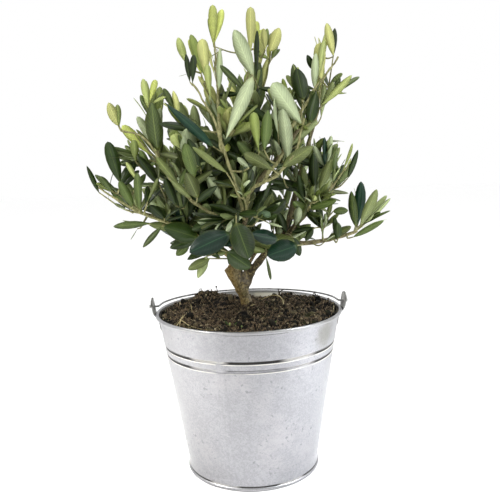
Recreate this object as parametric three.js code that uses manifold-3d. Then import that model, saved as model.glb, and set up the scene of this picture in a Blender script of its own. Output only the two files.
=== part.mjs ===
// Young olive tree growing in a round galvanised bucket with a wire bail.
// Millimetres, +Z up. The origin is on the bucket's axis, at the level it stands on.
// +X is to the right of the tree's front and +Y is to its back.

import * as THREE from "three";
import { mergeVertices } from "three/addons/utils/BufferGeometryUtils.js";
import Module from "manifold-3d";

const wasm = await Module();
wasm.setup();

const gap = 0.3; // air between pieces that touch

const bucket = {
  height: 142.5,
  rimRadius: 82.5, // outside of the rolled rim
  beadRadius: 1.5, // section of the rolled rim
  topRadius: 79.6, // outside of the wall under the rim
  bottomRadius: 58.6, // outside of the wall above the foot
  skirtHeight: 9, // the straight band above the foot
  footRadius: 59.5, // outside of the folded foot
  footHeight: 3,
  footWidth: 2.7, // flat ring that stands on the ground
  thickness: 1.2,
  grooveHeights: [107.8, 115.3],
  grooveDepth: 0.8,
  grooveHalfWidth: 1.3,
  floorHeight: 4, // underside of the floor plate
  sides: 28,
};

const soil = { edgeHeight: 133.5, crownHeight: 141, clodHeight: 2.5, clodAt: [-42, 46], clodRadius: 24 };

const ear = {
  width: 12,
  thickness: 1,
  footHeight: 124, // lower end, flat on the wall
  shoulderHeight: 136, // where it leaves the wall
  clearHeight: 140.5, // where it stands clear of the rim
  topHeight: 155,
  lean: THREE.MathUtils.degToRad(9), // outward, above the rim
  holeRadius: 1.15,
};

const bail = {
  pivotHeight: 147,
  wireRadius: 0.8,
  span: 80.5, // half the width between its arms
  reach: 81.3, // from the pivot line to the middle of the wire
  pinEnd: 88.5, // end of the bent-out wire
  headRadius: 1.5,
  headLength: 1.2,
};

const limb = { sides: 6, steps: 5, flare: 0.2 };
const foliage = { sides: 6, steps: 6, footRadius: 2.4, tipRadius: 1.4, overlap: 3 };

const colours = {
  zinc: { color: 0xc9ccce, roughness: 0.4, metalness: 0.9 },
  wire: { color: 0x9a9c9e, roughness: 0.35, metalness: 0.9 },
  peat: { color: 0x2e231b, roughness: 1, metalness: 0 },
  bark: { color: 0x6b5a41, roughness: 0.9, metalness: 0 },
  leaf: { color: 0x64784a, roughness: 0.6, metalness: 0 },
};

const materials = Object.fromEntries(
  Object.entries(colours).map(([name, look]) => [name, new THREE.MeshStandardMaterial(look)]),
);

// ---- closed meshes and solids

function closedMesh(geometry) {
  geometry.deleteAttribute("normal");
  geometry.deleteAttribute("uv");
  const merged = mergeVertices(geometry, 1e-4);
  const corners = merged.index.array;
  const kept = [];
  for (let i = 0; i < corners.length; i += 3) {
    const [a, b, c] = [corners[i], corners[i + 1], corners[i + 2]];
    if (a !== b && b !== c && c !== a) kept.push(a, b, c);
  }
  merged.setIndex(kept);
  return merged;
}

function toSolid(geometry) {
  const mesh = closedMesh(geometry);
  return new wasm.Manifold(
    new wasm.Mesh({
      numProp: 3,
      vertProperties: new Float32Array(mesh.attributes.position.array),
      triVerts: new Uint32Array(mesh.index.array),
    }),
  );
}

function toGeometry(solid) {
  const mesh = solid.getMesh();
  const geometry = new THREE.BufferGeometry();
  geometry.setAttribute("position", new THREE.BufferAttribute(new Float32Array(mesh.vertProperties), 3));
  geometry.setIndex(new THREE.BufferAttribute(new Uint32Array(mesh.triVerts), 1));
  geometry.computeVertexNormals();
  return geometry;
}

// The biggest of the bodies that a cut leaves, without its slivers
function largestPart(solid) {
  const biggest = solid.decompose().reduce((best, part) => (part.volume() > best.volume() ? part : best));
  return biggest.simplify(gap / 6);
}

// ---- bucket

// A ring turned about +Z from a closed outline of [radius, height] points
function turned(outline) {
  const points = outline.map(([radius, height]) => new THREE.Vector2(radius, height));
  return closedMesh(new THREE.LatheGeometry(points, bucket.sides)).rotateX(Math.PI / 2);
}

function wallRadius(height) {
  const top = bucket.height - 2 * bucket.beadRadius;
  const rise = (height - bucket.skirtHeight) / (top - bucket.skirtHeight);
  return bucket.bottomRadius + (bucket.topRadius - bucket.bottomRadius) * Math.max(rise, 0);
}

function bucketWall() {
  const { height, rimRadius, beadRadius, thickness, skirtHeight, footRadius, footHeight } = bucket;
  const ringRadius = footRadius - bucket.footWidth;
  const outline = [
    [ringRadius, 0],
    [footRadius - 0.4, 0],
    [footRadius, 0.6],
    [footRadius, footHeight - 0.8],
    [wallRadius(0), footHeight],
    [wallRadius(0), skirtHeight],
  ];
  for (const middle of bucket.grooveHeights) {
    for (const side of [-1, 0, 1]) {
      const level = middle + side * bucket.grooveHalfWidth;
      outline.push([wallRadius(level) - (side ? 0 : bucket.grooveDepth), level]);
    }
  }
  const beadBase = height - 2 * beadRadius;
  outline.push([wallRadius(beadBase), beadBase]);
  for (let turn = -60; turn <= 180; turn += 60) {
    const angle = THREE.MathUtils.degToRad(turn);
    outline.push([
      rimRadius - beadRadius + beadRadius * Math.cos(angle),
      height - beadRadius + beadRadius * Math.sin(angle),
    ]);
  }
  outline.push([wallRadius(beadBase) - thickness, beadBase]);
  outline.push([wallRadius(0) - thickness, skirtHeight], [wallRadius(0) - thickness, footHeight]);
  outline.push([ringRadius, footHeight - 0.5], [ringRadius, 0]);
  return turned(outline);
}

function bucketFloor() {
  const radius = wallRadius(0) - bucket.thickness - gap;
  const top = bucket.floorHeight + bucket.thickness;
  return turned([[0, bucket.floorHeight], [radius, bucket.floorHeight], [radius, top], [0, top]]);
}

function soilHeight(x, y) {
  const reach = Math.min(Math.hypot(x, y) / wallRadius(soil.edgeHeight), 1);
  const dome = (soil.crownHeight - soil.edgeHeight) * (1 - reach ** 2);
  const clod = Math.hypot(x - soil.clodAt[0], y - soil.clodAt[1]) / soil.clodRadius;
  return soil.edgeHeight + dome + soil.clodHeight * Math.max(1 - clod ** 2, 0);
}

function soilSolid() {
  const inside = (height) => wallRadius(height) - bucket.thickness - gap;
  const bottom = bucket.floorHeight + bucket.thickness + gap;
  const edge = inside(soil.edgeHeight);
  const outline = [[0, bottom], [inside(0), bottom], [inside(0), bucket.skirtHeight], [edge, soil.edgeHeight]];
  for (const part of [0.7, 0.35]) outline.push([edge * part, soil.edgeHeight + 1]);
  outline.push([0, soil.edgeHeight + 1]);
  const body = turned(outline);
  const place = body.attributes.position;
  for (let i = 0; i < place.count; i++) {
    if (place.getZ(i) > soil.edgeHeight) place.setZ(i, soilHeight(place.getX(i), place.getY(i)));
  }
  return toSolid(body);
}

// ---- ears and bail

// The right-hand ear: a strap that lies on the wall, passes the rim and leans out to its rounded top
function earSolid() {
  const { width, thickness, footHeight, shoulderHeight, clearHeight, topHeight, lean } = ear;
  const clearOfRim = bucket.rimRadius + gap;
  const bend = [
    [wallRadius(footHeight) + gap, footHeight],
    [wallRadius(shoulderHeight) + gap, shoulderHeight],
    [clearOfRim, clearHeight],
    [clearOfRim + (topHeight - clearHeight) * Math.tan(lean), topHeight],
  ];
  const side = new THREE.Shape([
    ...bend.map(([x, z]) => new THREE.Vector2(x + thickness, z)),
    ...bend.reverse().map(([x, z]) => new THREE.Vector2(x, z)),
  ]);
  const strap = new THREE.ExtrudeGeometry(side, { depth: width, bevelEnabled: false });
  strap.rotateX(Math.PI / 2).translate(0, width / 2, 0);

  const round = width / 2;
  const face = new THREE.Shape();
  face.absarc(0, topHeight - round, round, 0, Math.PI);
  face.absarc(0, footHeight + round, round, Math.PI, 2 * Math.PI);
  const hole = new THREE.Path();
  hole.absarc(0, bail.pivotHeight, ear.holeRadius, 0, 2 * Math.PI);
  face.holes.push(hole);
  const plate = new THREE.ExtrudeGeometry(face, { depth: width * 2, bevelEnabled: false, curveSegments: 6 });
  const across = new THREE.Matrix4().makeBasis(
    new THREE.Vector3(0, 1, 0),
    new THREE.Vector3(0, 0, 1),
    new THREE.Vector3(1, 0, 0),
  );
  plate.applyMatrix4(across).translate(bucket.rimRadius - width, 0, 0);
  return toSolid(strap).intersect(toSolid(plate));
}

// The bail lying flat in its own frame: pivot line along X, the loop towards +Y
class BailArc extends THREE.Curve {
  getPoint(t, target = new THREE.Vector3()) {
    const angle = Math.PI * (1 - t);
    return target.set(bail.span * Math.cos(angle), bail.reach * Math.sin(angle), 0);
  }
}

function bailSolid() {
  const { wireRadius, headRadius, headLength, pinEnd, span } = bail;
  const section = new THREE.Shape().absarc(0, 0, wireRadius, 0, 2 * Math.PI);
  const arc = { extrudePath: new BailArc(), steps: 28, curveSegments: 3, bevelEnabled: false };
  let wire = toSolid(new THREE.ExtrudeGeometry(section, arc));
  for (const side of [-1, 1]) {
    const length = pinEnd - span + wireRadius;
    const pin = new THREE.CylinderGeometry(wireRadius, wireRadius, length, 6).rotateZ(Math.PI / 2);
    pin.translate(side * (pinEnd - length / 2), 0, 0);
    const head = new THREE.CylinderGeometry(headRadius, headRadius, headLength, 8).rotateZ(Math.PI / 2);
    head.translate(side * (pinEnd - headLength / 2), 0, 0);
    wire = wire.add(toSolid(pin)).add(toSolid(head));
  }
  return wire;
}

// ---- limbs

// A point given by its compass heading from +X, its distance from the bucket's axis and its height
function place(heading, out, height) {
  const angle = THREE.MathUtils.degToRad(heading);
  return new THREE.Vector3(out * Math.cos(angle), out * Math.sin(angle), height);
}

// A curve from one point to another whose middle is lifted by bow
function bowed(start, end, bow) {
  const control = start.clone().lerp(end, 0.5);
  control.z += 2 * bow;
  return new THREE.QuadraticBezierCurve3(start, control, end);
}

// A unit lathe bent along the curve; extra is added to the radius and to both ends
function along(curve, sides, steps, radiusAt, extra = 0) {
  const outline = [new THREE.Vector2(0, 0)];
  for (let i = 0; i <= steps; i++) outline.push(new THREE.Vector2(1, i / steps));
  outline.push(new THREE.Vector2(0, 1));
  const shape = new THREE.LatheGeometry(outline, sides);
  const frames = curve.computeFrenetFrames(steps, false);
  const vertex = shape.attributes.position;
  for (let i = 0; i < vertex.count; i++) {
    const [x, t, z] = [vertex.getX(i), vertex.getY(i), vertex.getZ(i)];
    const step = Math.round(t * steps);
    const radius = radiusAt(t, Math.atan2(z, x)) + extra;
    const point = curve.getPointAt(t);
    point.addScaledVector(frames.normals[step], x * radius);
    point.addScaledVector(frames.binormals[step], -z * radius);
    if (step === 0) point.addScaledVector(frames.tangents[0], -extra);
    if (step === steps) point.addScaledVector(frames.tangents[steps], extra);
    vertex.setXYZ(i, point.x, point.y, point.z);
  }
  return toSolid(shape);
}

const limbs = new Map(); // name to { curve, solid, room }, where room is the solid with its gap

function addLimb(name, curve, thick, thin, cutters) {
  const radiusAt = (t) => thick + (thin - thick) * t + thick * limb.flare * Math.max(1 - t * 8, 0);
  const room = along(curve, limb.sides, limb.steps, radiusAt, gap);
  let solid = along(curve, limb.sides, limb.steps, radiusAt);
  for (const cutter of cutters) solid = solid.subtract(cutter);
  limbs.set(name, { curve, room, solid: largestPart(solid) });
}

// A tapering limb from a fraction of its parent's length to the place where its leaves begin
function bough(name, parent, at, end, { bow = 0, thick = 2.6, thin = 1.6 }) {
  const curve = bowed(limbs.get(parent).curve.getPointAt(at), end, bow);
  addLimb(name, curve, thick, thin, [...limbs.values()].map((other) => other.room));
}

function levelCut(solid, height) {
  const below = new THREE.BoxGeometry(100, 100, 100).translate(0, 0, height - 50);
  return solid.subtract(toSolid(below));
}

const trunk = { heading: 97, out: 22, sunk: 8, thick: 6.6, thin: 5.8, bow: 8 };

function growTrunk() {
  const { heading, out, sunk, bow, thick, thin } = trunk;
  const foot = place(heading, out, 0);
  const ground = soilHeight(foot.x, foot.y);
  addLimb("trunk", bowed(foot.setZ(ground - sunk), place(139, 20, 178), bow), thick, thin, []);
  const whole = limbs.get("trunk");
  whole.solid = levelCut(whole.solid, ground - 1);
  whole.socket = levelCut(whole.room, ground - 1 - gap);
}

growTrunk();
bough("leader", "trunk", 0.78, place(180, 8, 251), { bow: 2, thick: 4.6, thin: 3.2 });
bough("right_limb", "trunk", 0.5, place(12, 28, 199), { bow: -1, thick: 4, thin: 3 });
bough("leader_top", "leader", 1, place(207, 22, 308), { thick: 3, thin: 1.9 });
bough("centre", "leader", 0.93, place(28, 17, 326), { bow: -3 });
bough("right_upper", "leader", 0.85, place(333, 56, 303), { bow: -6, thick: 2.8 });
bough("left_inner", "leader", 0.62, place(172, 41, 285), {});
bough("left_mid", "leader", 0.5, place(200, 76, 276), { bow: -3, thick: 3 });
bough("left_low", "leader", 0.2, place(202, 92, 233), { bow: 6, thick: 3 });
bough("front", "leader", 0.35, place(273, 44, 232), { bow: -2 });
bough("back", "leader", 0.6, place(88, 56, 292), { bow: -4 });
bough("back_left", "leader", 0.3, place(136, 81, 256), { bow: -4 });
bough("right_low", "right_limb", 1, place(8, 102, 207), { bow: -4, thick: 2.6, thin: 1.5 });
bough("right_mid", "right_limb", 0.75, place(351, 78, 251), { bow: 1 });
bough("right_top", "right_mid", 0.25, place(5, 67, 318), { bow: 2, thick: 2.4 });
bough("back_right", "right_limb", 0.85, place(44, 86, 250), { bow: -3 });

// ---- foliage

const leafMasses = new Map();

// A closed, uneven plume of leaves about a shoot that leaves a limb and ends at its tip
function leaves(name, parent, at, tip, { width = 13, bow = 0 }) {
  const { sides, steps, footRadius, tipRadius, overlap } = foliage;
  const start = limbs.get(parent).curve.getPointAt(at);
  start.addScaledVector(tip.clone().sub(start).normalize(), -overlap * (at === 1 ? 1 : 0));
  const phase = leafMasses.size * 2.4;
  const radiusAt = (t, angle) => {
    const least = footRadius + (tipRadius - footRadius) * t;
    const belly = Math.sin(Math.PI * t ** 0.9) ** 0.8;
    const uneven = 1 + 0.16 * Math.sin(2 * angle + 7 * t + phase) + 0.1 * Math.sin(3 * angle - 11 * t - phase);
    return least + (width - least) * belly * uneven;
  };
  const curve = bowed(start, tip, bow);
  const room = along(curve, sides, steps, radiusAt, gap);
  let solid = along(curve, sides, steps, radiusAt);
  for (const other of limbs.values()) solid = solid.subtract(other.room);
  for (const other of leafMasses.values()) solid = solid.subtract(other.room);
  leafMasses.set(`leaves_${parent}_${name}`, { room, solid: largestPart(solid) });
}

leaves("tip", "leader_top", 1, place(215, 24, 402), { width: 13, bow: 1 });
leaves("left", "leader_top", 1, place(214, 55, 374), { width: 16 });
leaves("tip", "centre", 1, place(45, 14, 403), { width: 14 });
leaves("right", "centre", 1, place(35, 38, 391), { width: 12 });
leaves("tip", "right_top", 1, place(4, 77, 389), { width: 13 });
leaves("side", "right_top", 1, place(2, 98, 342), { width: 6 });
leaves("tip", "right_upper", 1, place(324, 52, 350), { width: 14 });
leaves("inner", "right_upper", 1, place(299, 46, 335), { width: 14 });
leaves("out", "right_upper", 0.7, place(311, 82, 303), { width: 14, bow: 4 });
leaves("tip", "left_inner", 1, place(178, 64, 340), { width: 17 });
leaves("up", "left_mid", 1, place(202, 80, 345), { width: 14 });
leaves("out", "left_mid", 1, place(199, 111, 326), { width: 12 });
leaves("low", "left_mid", 0.8, place(203, 117, 290), { width: 13 });
leaves("front", "left_mid", 0.4, place(233, 87, 300), { width: 18 });
leaves("tip", "left_low", 1, place(200, 134, 273), { width: 10 });
leaves("side", "left_low", 1, place(203, 133, 241), { width: 6 });
leaves("hang", "left_low", 0.75, place(206, 116, 217), { width: 10 });
leaves("under", "left_low", 0.4, place(194, 51, 176), { width: 17, bow: 6 });
leaves("tip", "front", 1, place(267, 104, 262), { width: 20 });
leaves("left", "front", 1, place(236, 87, 206), { width: 16, bow: 4 });
leaves("right", "front", 1, place(292, 85, 199), { width: 16, bow: 6 });
leaves("front", "leader_top", 0.3, place(268, 70, 330), { width: 20 });
leaves("tip", "right_low", 1, place(6, 127, 237), { width: 12 });
leaves("up", "right_low", 1, place(7, 108, 259), { width: 10 });
leaves("in", "right_low", 0.5, place(343, 77, 232), { width: 13 });
leaves("tip", "right_mid", 1, place(354, 98, 280), { width: 13 });
leaves("up", "right_mid", 0.75, place(349, 73, 293), { width: 14 });
leaves("front", "right_mid", 0.5, place(306, 104, 246), { width: 17, bow: 3 });
leaves("out", "back_left", 1, place(136, 117, 292), { width: 17 });
leaves("up", "back_left", 0.75, place(118, 104, 300), { width: 17 });
leaves("low", "back_left", 0.8, place(143, 107, 236), { width: 14, bow: 3 });
leaves("up", "back", 1, place(99, 75, 352), { width: 18 });
leaves("far", "back", 1, place(85, 106, 306), { width: 17 });
leaves("low", "back", 0.5, place(94, 98, 250), { width: 17, bow: 3 });
leaves("out", "back_right", 1, place(42, 120, 286), { width: 16 });
leaves("up", "back_right", 0.75, place(62, 104, 300), { width: 17 });
leaves("low", "back_right", 0.8, place(33, 107, 238), { width: 14, bow: 3 });

// ---- the assembled part

function addMesh(parent, name, geometry, material) {
  const mesh = new THREE.Mesh(geometry, material);
  mesh.name = name;
  parent.add(mesh);
  return mesh;
}

const planter = new THREE.Group();
addMesh(planter, "bucket_wall", bucketWall(), materials.zinc);
addMesh(planter, "bucket_floor", bucketFloor(), materials.zinc);
addMesh(planter, "ear_right", toGeometry(earSolid()), materials.zinc);
addMesh(planter, "ear_left", toGeometry(earSolid()), materials.zinc).rotation.z = Math.PI;
addMesh(planter, "soil", toGeometry(soilSolid().subtract(limbs.get("trunk").socket)), materials.peat);

const handle = new THREE.Group();
const restHeight = bucket.height + gap + bail.wireRadius;
handle.position.z = bail.pivotHeight;
handle.rotation.x = -Math.asin((bail.pivotHeight - restHeight) / bail.reach);
addMesh(handle, "bail", toGeometry(bailSolid()), materials.wire);

const tree = new THREE.Group();
for (const [name, { solid }] of limbs) {
  addMesh(tree, name === "trunk" ? name : `bough_${name}`, toGeometry(solid), materials.bark);
}
for (const [name, { solid }] of leafMasses) addMesh(tree, name, toGeometry(solid), materials.leaf);

const pottedOliveTree = new THREE.Group();
pottedOliveTree.add(planter, handle, tree);

export default pottedOliveTree;
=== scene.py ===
import math
import random

import bmesh
import bpy
import numpy as np
from mathutils import Matrix, Vector, noise
from mathutils.bvhtree import BVHTree


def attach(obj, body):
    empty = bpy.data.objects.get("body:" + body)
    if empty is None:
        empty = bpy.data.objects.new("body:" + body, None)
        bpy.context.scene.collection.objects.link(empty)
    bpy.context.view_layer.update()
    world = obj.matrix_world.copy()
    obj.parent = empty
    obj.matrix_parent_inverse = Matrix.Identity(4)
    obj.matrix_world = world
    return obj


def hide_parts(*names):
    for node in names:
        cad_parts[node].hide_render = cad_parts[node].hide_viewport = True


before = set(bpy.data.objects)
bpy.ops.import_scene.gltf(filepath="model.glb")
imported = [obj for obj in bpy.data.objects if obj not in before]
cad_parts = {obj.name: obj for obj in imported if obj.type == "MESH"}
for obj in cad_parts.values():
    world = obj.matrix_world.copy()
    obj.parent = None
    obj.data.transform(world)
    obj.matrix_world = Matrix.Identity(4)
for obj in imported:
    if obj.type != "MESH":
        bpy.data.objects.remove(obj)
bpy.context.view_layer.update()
mm = 0.001
up = np.array((0.0, 0.0, 1.0))
print("frame loaded:", len(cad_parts), "nodes")


class Wire:  # one output socket; its operators add Math nodes beside it
    def __init__(self, graph, socket):
        self.graph = graph
        self.socket = socket

    def __add__(self, other):
        return self.graph.maths("ADD", self, other)

    def __radd__(self, other):
        return self.graph.maths("ADD", other, self)

    def __sub__(self, other):
        return self.graph.maths("SUBTRACT", self, other)

    def __rsub__(self, other):
        return self.graph.maths("SUBTRACT", other, self)

    def __mul__(self, other):
        return self.graph.maths("MULTIPLY", self, other)

    def __rmul__(self, other):
        return self.graph.maths("MULTIPLY", other, self)

    def __truediv__(self, other):
        return self.graph.maths("DIVIDE", self, other)

    def __rtruediv__(self, other):
        return self.graph.maths("DIVIDE", other, self)

    def __pow__(self, other):
        return self.graph.maths("POWER", self, other)

    def beside(self, name):  # another output of the same node
        return Wire(self.graph, self.socket.node.outputs[name])

    def ramp(self, low, high):  # 0 at low, 1 at high, held outside
        settings = {"clamp": True, "interpolation_type": "SMOOTHSTEP"}
        sockets = {"Value": self, "From Min": low, "From Max": high}
        return self.graph.node("ShaderNodeMapRange", settings, sockets)


class Graph:
    def __init__(self, tree):
        self.tree = tree

    def node(self, kind, settings=None, sockets=None, out=0):
        made = self.tree.nodes.new(kind)
        for key, value in (settings or {}).items():
            setattr(made, key, value)
        for key, value in (sockets or {}).items():
            if isinstance(value, Wire):
                self.tree.links.new(value.socket, made.inputs[key])
            else:
                made.inputs[key].default_value = value
        return Wire(self, made.outputs[out]) if len(made.outputs) else made

    def maths(self, operation, *values):
        return self.node("ShaderNodeMath", {"operation": operation}, dict(enumerate(values)))

    def vector(self, operation, *values):
        out = "Value" if operation in ("DOT_PRODUCT", "LENGTH") else "Vector"
        return self.node("ShaderNodeVectorMath", {"operation": operation}, dict(enumerate(values)), out)

    def scaled(self, vector, factor):
        sockets = {"Vector": vector, "Scale": factor}
        return self.node("ShaderNodeVectorMath", {"operation": "SCALE"}, sockets)

    def join(self, x, y, z):
        return self.node("ShaderNodeCombineXYZ", None, {"X": x, "Y": y, "Z": z})

    def split(self, vector):
        whole = self.node("ShaderNodeSeparateXYZ", None, {"Vector": vector})
        return whole, whole.beside("Y"), whole.beside("Z")

    def blend(self, factor, below, above, mode="MIX"):
        settings = {"data_type": "RGBA", "blend_type": mode, "clamp_result": True}
        return self.node("ShaderNodeMix", settings, {0: factor, 6: below, 7: above}, 2)


def linear(shade):  # a colour as a screen shows it, in linear light
    parts = [part / 12.92 if part <= 0.04045 else ((part + 0.055) / 1.055) ** 2.4 for part in shade]
    return (*parts, 1.0)


class Finish(Graph):  # a material and the Principled shader in it
    def __init__(self, name, **sockets):
        self.material = bpy.data.materials.new(name)
        self.material.use_nodes = True
        super().__init__(self.material.node_tree)
        self.shader = self.tree.nodes["Principled BSDF"]
        for key, value in sockets.items():
            self.shader.inputs[key].default_value = value
        self.place = self.node("ShaderNodeTexCoord", None, None, "Object")

    def feed(self, **values):
        for key, value in values.items():
            self.tree.links.new(value.socket, self.shader.inputs[key.replace("_", " ")])

    def noise(self, scale, detail=2.0, roughness=0.5, place=None):
        sockets = {"Vector": place or self.place, "Scale": scale, "Detail": detail, "Roughness": roughness}
        return self.node("ShaderNodeTexNoise", None, sockets)

    def cells(self, scale):  # a random value for each cell of a pattern
        sockets = {"Vector": self.place, "Scale": scale, "Randomness": 1.0}
        return self.split(self.node("ShaderNodeTexVoronoi", {"feature": "F1"}, sockets, "Color"))[0]

    def stretched(self, x, y, z):
        return self.node("ShaderNodeMapping", None, {"Vector": self.place, "Scale": (x, y, z)})

    def stored(self, name, out="Fac"):  # an attribute of the mesh
        return self.node("ShaderNodeAttribute", {"attribute_name": name}, None, out)

    def away(self, middle):  # distance from a place
        return self.vector("LENGTH", self.vector("SUBTRACT", self.place, middle))

    def bump(self, height, strength, distance):
        sockets = {"Height": height, "Strength": strength, "Distance": distance}
        self.feed(Normal=self.node("ShaderNodeBump", None, sockets))


class Growth(Graph):  # a geometry tree with named inputs, to be run on a base mesh
    def __init__(self, name, **inputs):
        super().__init__(bpy.data.node_groups.new(name, "GeometryNodeTree"))
        face = self.tree.interface
        face.new_socket("Geometry", in_out="INPUT", socket_type="NodeSocketGeometry")
        face.new_socket("Geometry", in_out="OUTPUT", socket_type="NodeSocketGeometry")
        for label, kind in inputs.items():
            face.new_socket(label, in_out="INPUT", socket_type="NodeSocket" + kind)
        self.given = self.node("NodeGroupInput", None, None, "Geometry")
        self.finish = self.tree.nodes.new("NodeGroupOutput")

    def named(self, name, kind="FLOAT"):
        return self.node("GeometryNodeInputNamedAttribute", {"data_type": kind}, {"Name": name})

    def keep(self, shape, name, value, domain="POINT"):
        settings = {"data_type": "FLOAT", "domain": domain}
        sockets = {"Geometry": shape, "Name": name, "Value": value}
        return self.node("GeometryNodeStoreNamedAttribute", settings, sockets)

    def random(self, low, high, seed, vector=False):
        if vector:
            sockets = {0: low, 1: high, 8: seed}
            return self.node("FunctionNodeRandomValue", {"data_type": "FLOAT_VECTOR"}, sockets)
        sockets = {2: low, 3: high, 8: seed}
        return self.node("FunctionNodeRandomValue", {"data_type": "FLOAT"}, sockets, 1)

    def end(self, shape, *materials):  # pairs of a material and the faces that take it
        shape = self.node("GeometryNodeRealizeInstances", None, {"Geometry": shape})
        for material, faces in materials:
            sockets = {"Geometry": shape, "Material": material}
            if faces is not None:
                sockets["Selection"] = faces
            shape = self.node("GeometryNodeSetMaterial", None, sockets)
        self.tree.links.new(shape.socket, self.finish.inputs["Geometry"])

    def run(self, name, base, drop=(), **values):
        modifier = base.modifiers.new("growth", "NODES")
        modifier.node_group = self.tree
        for item in self.tree.interface.items_tree:
            if item.in_out == "INPUT" and item.name in values:
                modifier[item.identifier] = values[item.name]
        shape = plainMesh(base)
        for unused in [item for item in shape.attributes if item.name in drop]:
            shape.attributes.remove(unused)
        shape.name = name
        bpy.data.objects.remove(base)
        return addObject(name, shape)


def plainMesh(item):  # with its modifiers carried out
    return bpy.data.meshes.new_from_object(item.evaluated_get(bpy.context.evaluated_depsgraph_get()))


def addObject(name, shape):
    made = bpy.data.objects.new(name, shape)
    bpy.context.scene.collection.objects.link(made)
    return made


def meshOf(name, corners, faces=(), edges=(), smooth=True, **extra):
    shape = bpy.data.meshes.new(name)
    shape.from_pydata([tuple(corner) for corner in corners], list(edges), list(faces))
    shape.polygons.foreach_set("use_smooth", [smooth] * len(shape.polygons))
    for key, values in extra.items():
        values = np.asarray(values, dtype=float)
        if values.ndim == 2:
            shape.attributes.new(key, "FLOAT_VECTOR", "POINT").data.foreach_set("vector", values.ravel())
        else:
            shape.attributes.new(key, "FLOAT", "POINT").data.foreach_set("value", values)
    return addObject(name, shape)


# camera, light and floor, in metres and degrees, the lens in millimetres
view = {"place": (0, -0.55, 0.2691), "pitch": 7.69, "yaw": 0.3, "roll": 1.9, "lens": 45.28}
lights = {  # where each softbox stands, its size, power and tint
    "key": ((-0.9, -0.7, 1.1), 0.7, 4.5, (1.0, 0.97, 0.92)),
    "fill": ((1.2, -0.3, 0.6), 0.8, 3.5, (0.93, 0.96, 1.0)),
    "top": ((0.1, 0.3, 1.5), 0.8, 4, (1.0, 1.0, 1.0)),
}
pools = {  # soft spots that lift the floor either side of the bucket, mirrored in its flanks
    "leftPool": ((-0.95, -0.1, 1.3), (-0.27, -0.03, 0), 150, (1.0, 0.98, 0.94)),
    "rightPool": ((0.95, -0.1, 1.3), (0.27, -0.03, 0), 160, (0.93, 0.96, 1.0)),
}
studio = {
    "sky": 1.0,
    "aimHeight": 0.16,  # what the softboxes point at
    "poolSpread": 24,  # degrees
    "poolSoftness": 0.15,
    "floorShade": (0.998, 0.998, 0.998),
    "floorReach": 6.0,
}


def addCamera():
    pitch, yaw, roll = (math.radians(view[key]) for key in ("pitch", "yaw", "roll"))
    ahead = Vector((math.sin(yaw) * math.cos(pitch), math.cos(yaw) * math.cos(pitch), -math.sin(pitch)))
    right = Vector((math.cos(yaw), -math.sin(yaw), 0))
    over = right.cross(ahead)
    across = right * math.cos(roll) - over * math.sin(roll)
    upward = right * math.sin(roll) + over * math.cos(roll)
    lens = bpy.data.cameras.new("camera")
    lens.lens = view["lens"]
    lens.sensor_width = 36
    lens.clip_start = 0.01
    holder = addObject("camera", lens)
    turn = Matrix((across, upward, -ahead)).transposed()
    holder.matrix_world = Matrix.Translation(view["place"]) @ turn.to_4x4()
    bpy.context.scene.camera = holder


def addLamp(name, kind, place, target, power, tint):
    lamp = bpy.data.lights.new(name, kind)
    lamp.energy = power
    lamp.color = tint
    stand = addObject(name, lamp)
    aim = Vector(target) - Vector(place)
    stand.matrix_world = Matrix.Translation(place) @ aim.to_track_quat("-Z", "Y").to_matrix().to_4x4()
    return lamp


def addLights():
    for name, (place, size, power, tint) in lights.items():
        softbox = addLamp(name, "AREA", place, (0, 0, studio["aimHeight"]), power, tint)
        softbox.shape = "DISK"
        softbox.size = size
    for name, (place, target, power, tint) in pools.items():
        pool = addLamp(name, "SPOT", place, target, power, tint)
        pool.spot_size = math.radians(studio["poolSpread"])
        pool.spot_blend = 1.0
        pool.shadow_soft_size = studio["poolSoftness"]
    world = bpy.data.worlds.new("studio")
    world.use_nodes = True
    world.node_tree.nodes["Background"].inputs["Color"].default_value = (1, 1, 1, 1)
    world.node_tree.nodes["Background"].inputs["Strength"].default_value = studio["sky"]
    bpy.context.scene.world = world
    bpy.context.scene.view_settings.view_transform = "Standard"


def addFloor():
    reach = studio["floorReach"]
    corners = [(-reach, -reach, 0), (reach, -reach, 0), (reach, reach, 0), (-reach, reach, 0)]
    floor = meshOf("floor", corners, [(0, 1, 2, 3)])
    paper = Finish("floorPaper", Roughness=0.9)
    grain = paper.noise(60, 4)
    shade = linear(studio["floorShade"])
    paper.feed(Base_Color=paper.blend(grain * 0.012, shade, (0.8, 0.8, 0.8, 1)))
    floor.data.materials.append(paper.material)


addCamera()
addLights()
addFloor()
print("studio set")


# the galvanised bucket, turned from its outline
bucket = {
    "height": 142.5 * mm,
    "rimRadius": 82.5 * mm,
    "beadRadius": 1.5 * mm,
    "topRadius": 79.6 * mm,
    "bottomRadius": 58.6 * mm,
    "skirtHeight": 9 * mm,  # below this the wall stands straight
    "footRadius": 59.5 * mm,
    "footHeight": 3 * mm,
    "footWidth": 2.7 * mm,
    "footCrease": 0.7 * mm,  # between the foot ring and the wall
    "rimCrease": 0.9 * mm,
    "thickness": 1.2 * mm,
    "grooveHeights": (107.8 * mm, 115.3 * mm),
    "grooveDepth": 0.8 * mm,
    "grooveHalfWidth": 1.6 * mm,
    "shadedHeading": 273,  # middle of one stretch where the grooves take their darkest painted shade, in degrees from +X
    "shadedStretches": 6,
    "seamHeading": 250.9,  # where the sheet laps, in degrees from +X
    "seamWidth": 3.6 * mm,
    "lap": 0.25 * mm,
    "segments": 192,
    "darkZinc": (0.565, 0.565, 0.578),
    "lightZinc": (0.63, 0.63, 0.642),
    "tarnish": (62 * mm, -46 * mm, 130 * mm),  # middle of the dull patch under the rim
}


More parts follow.
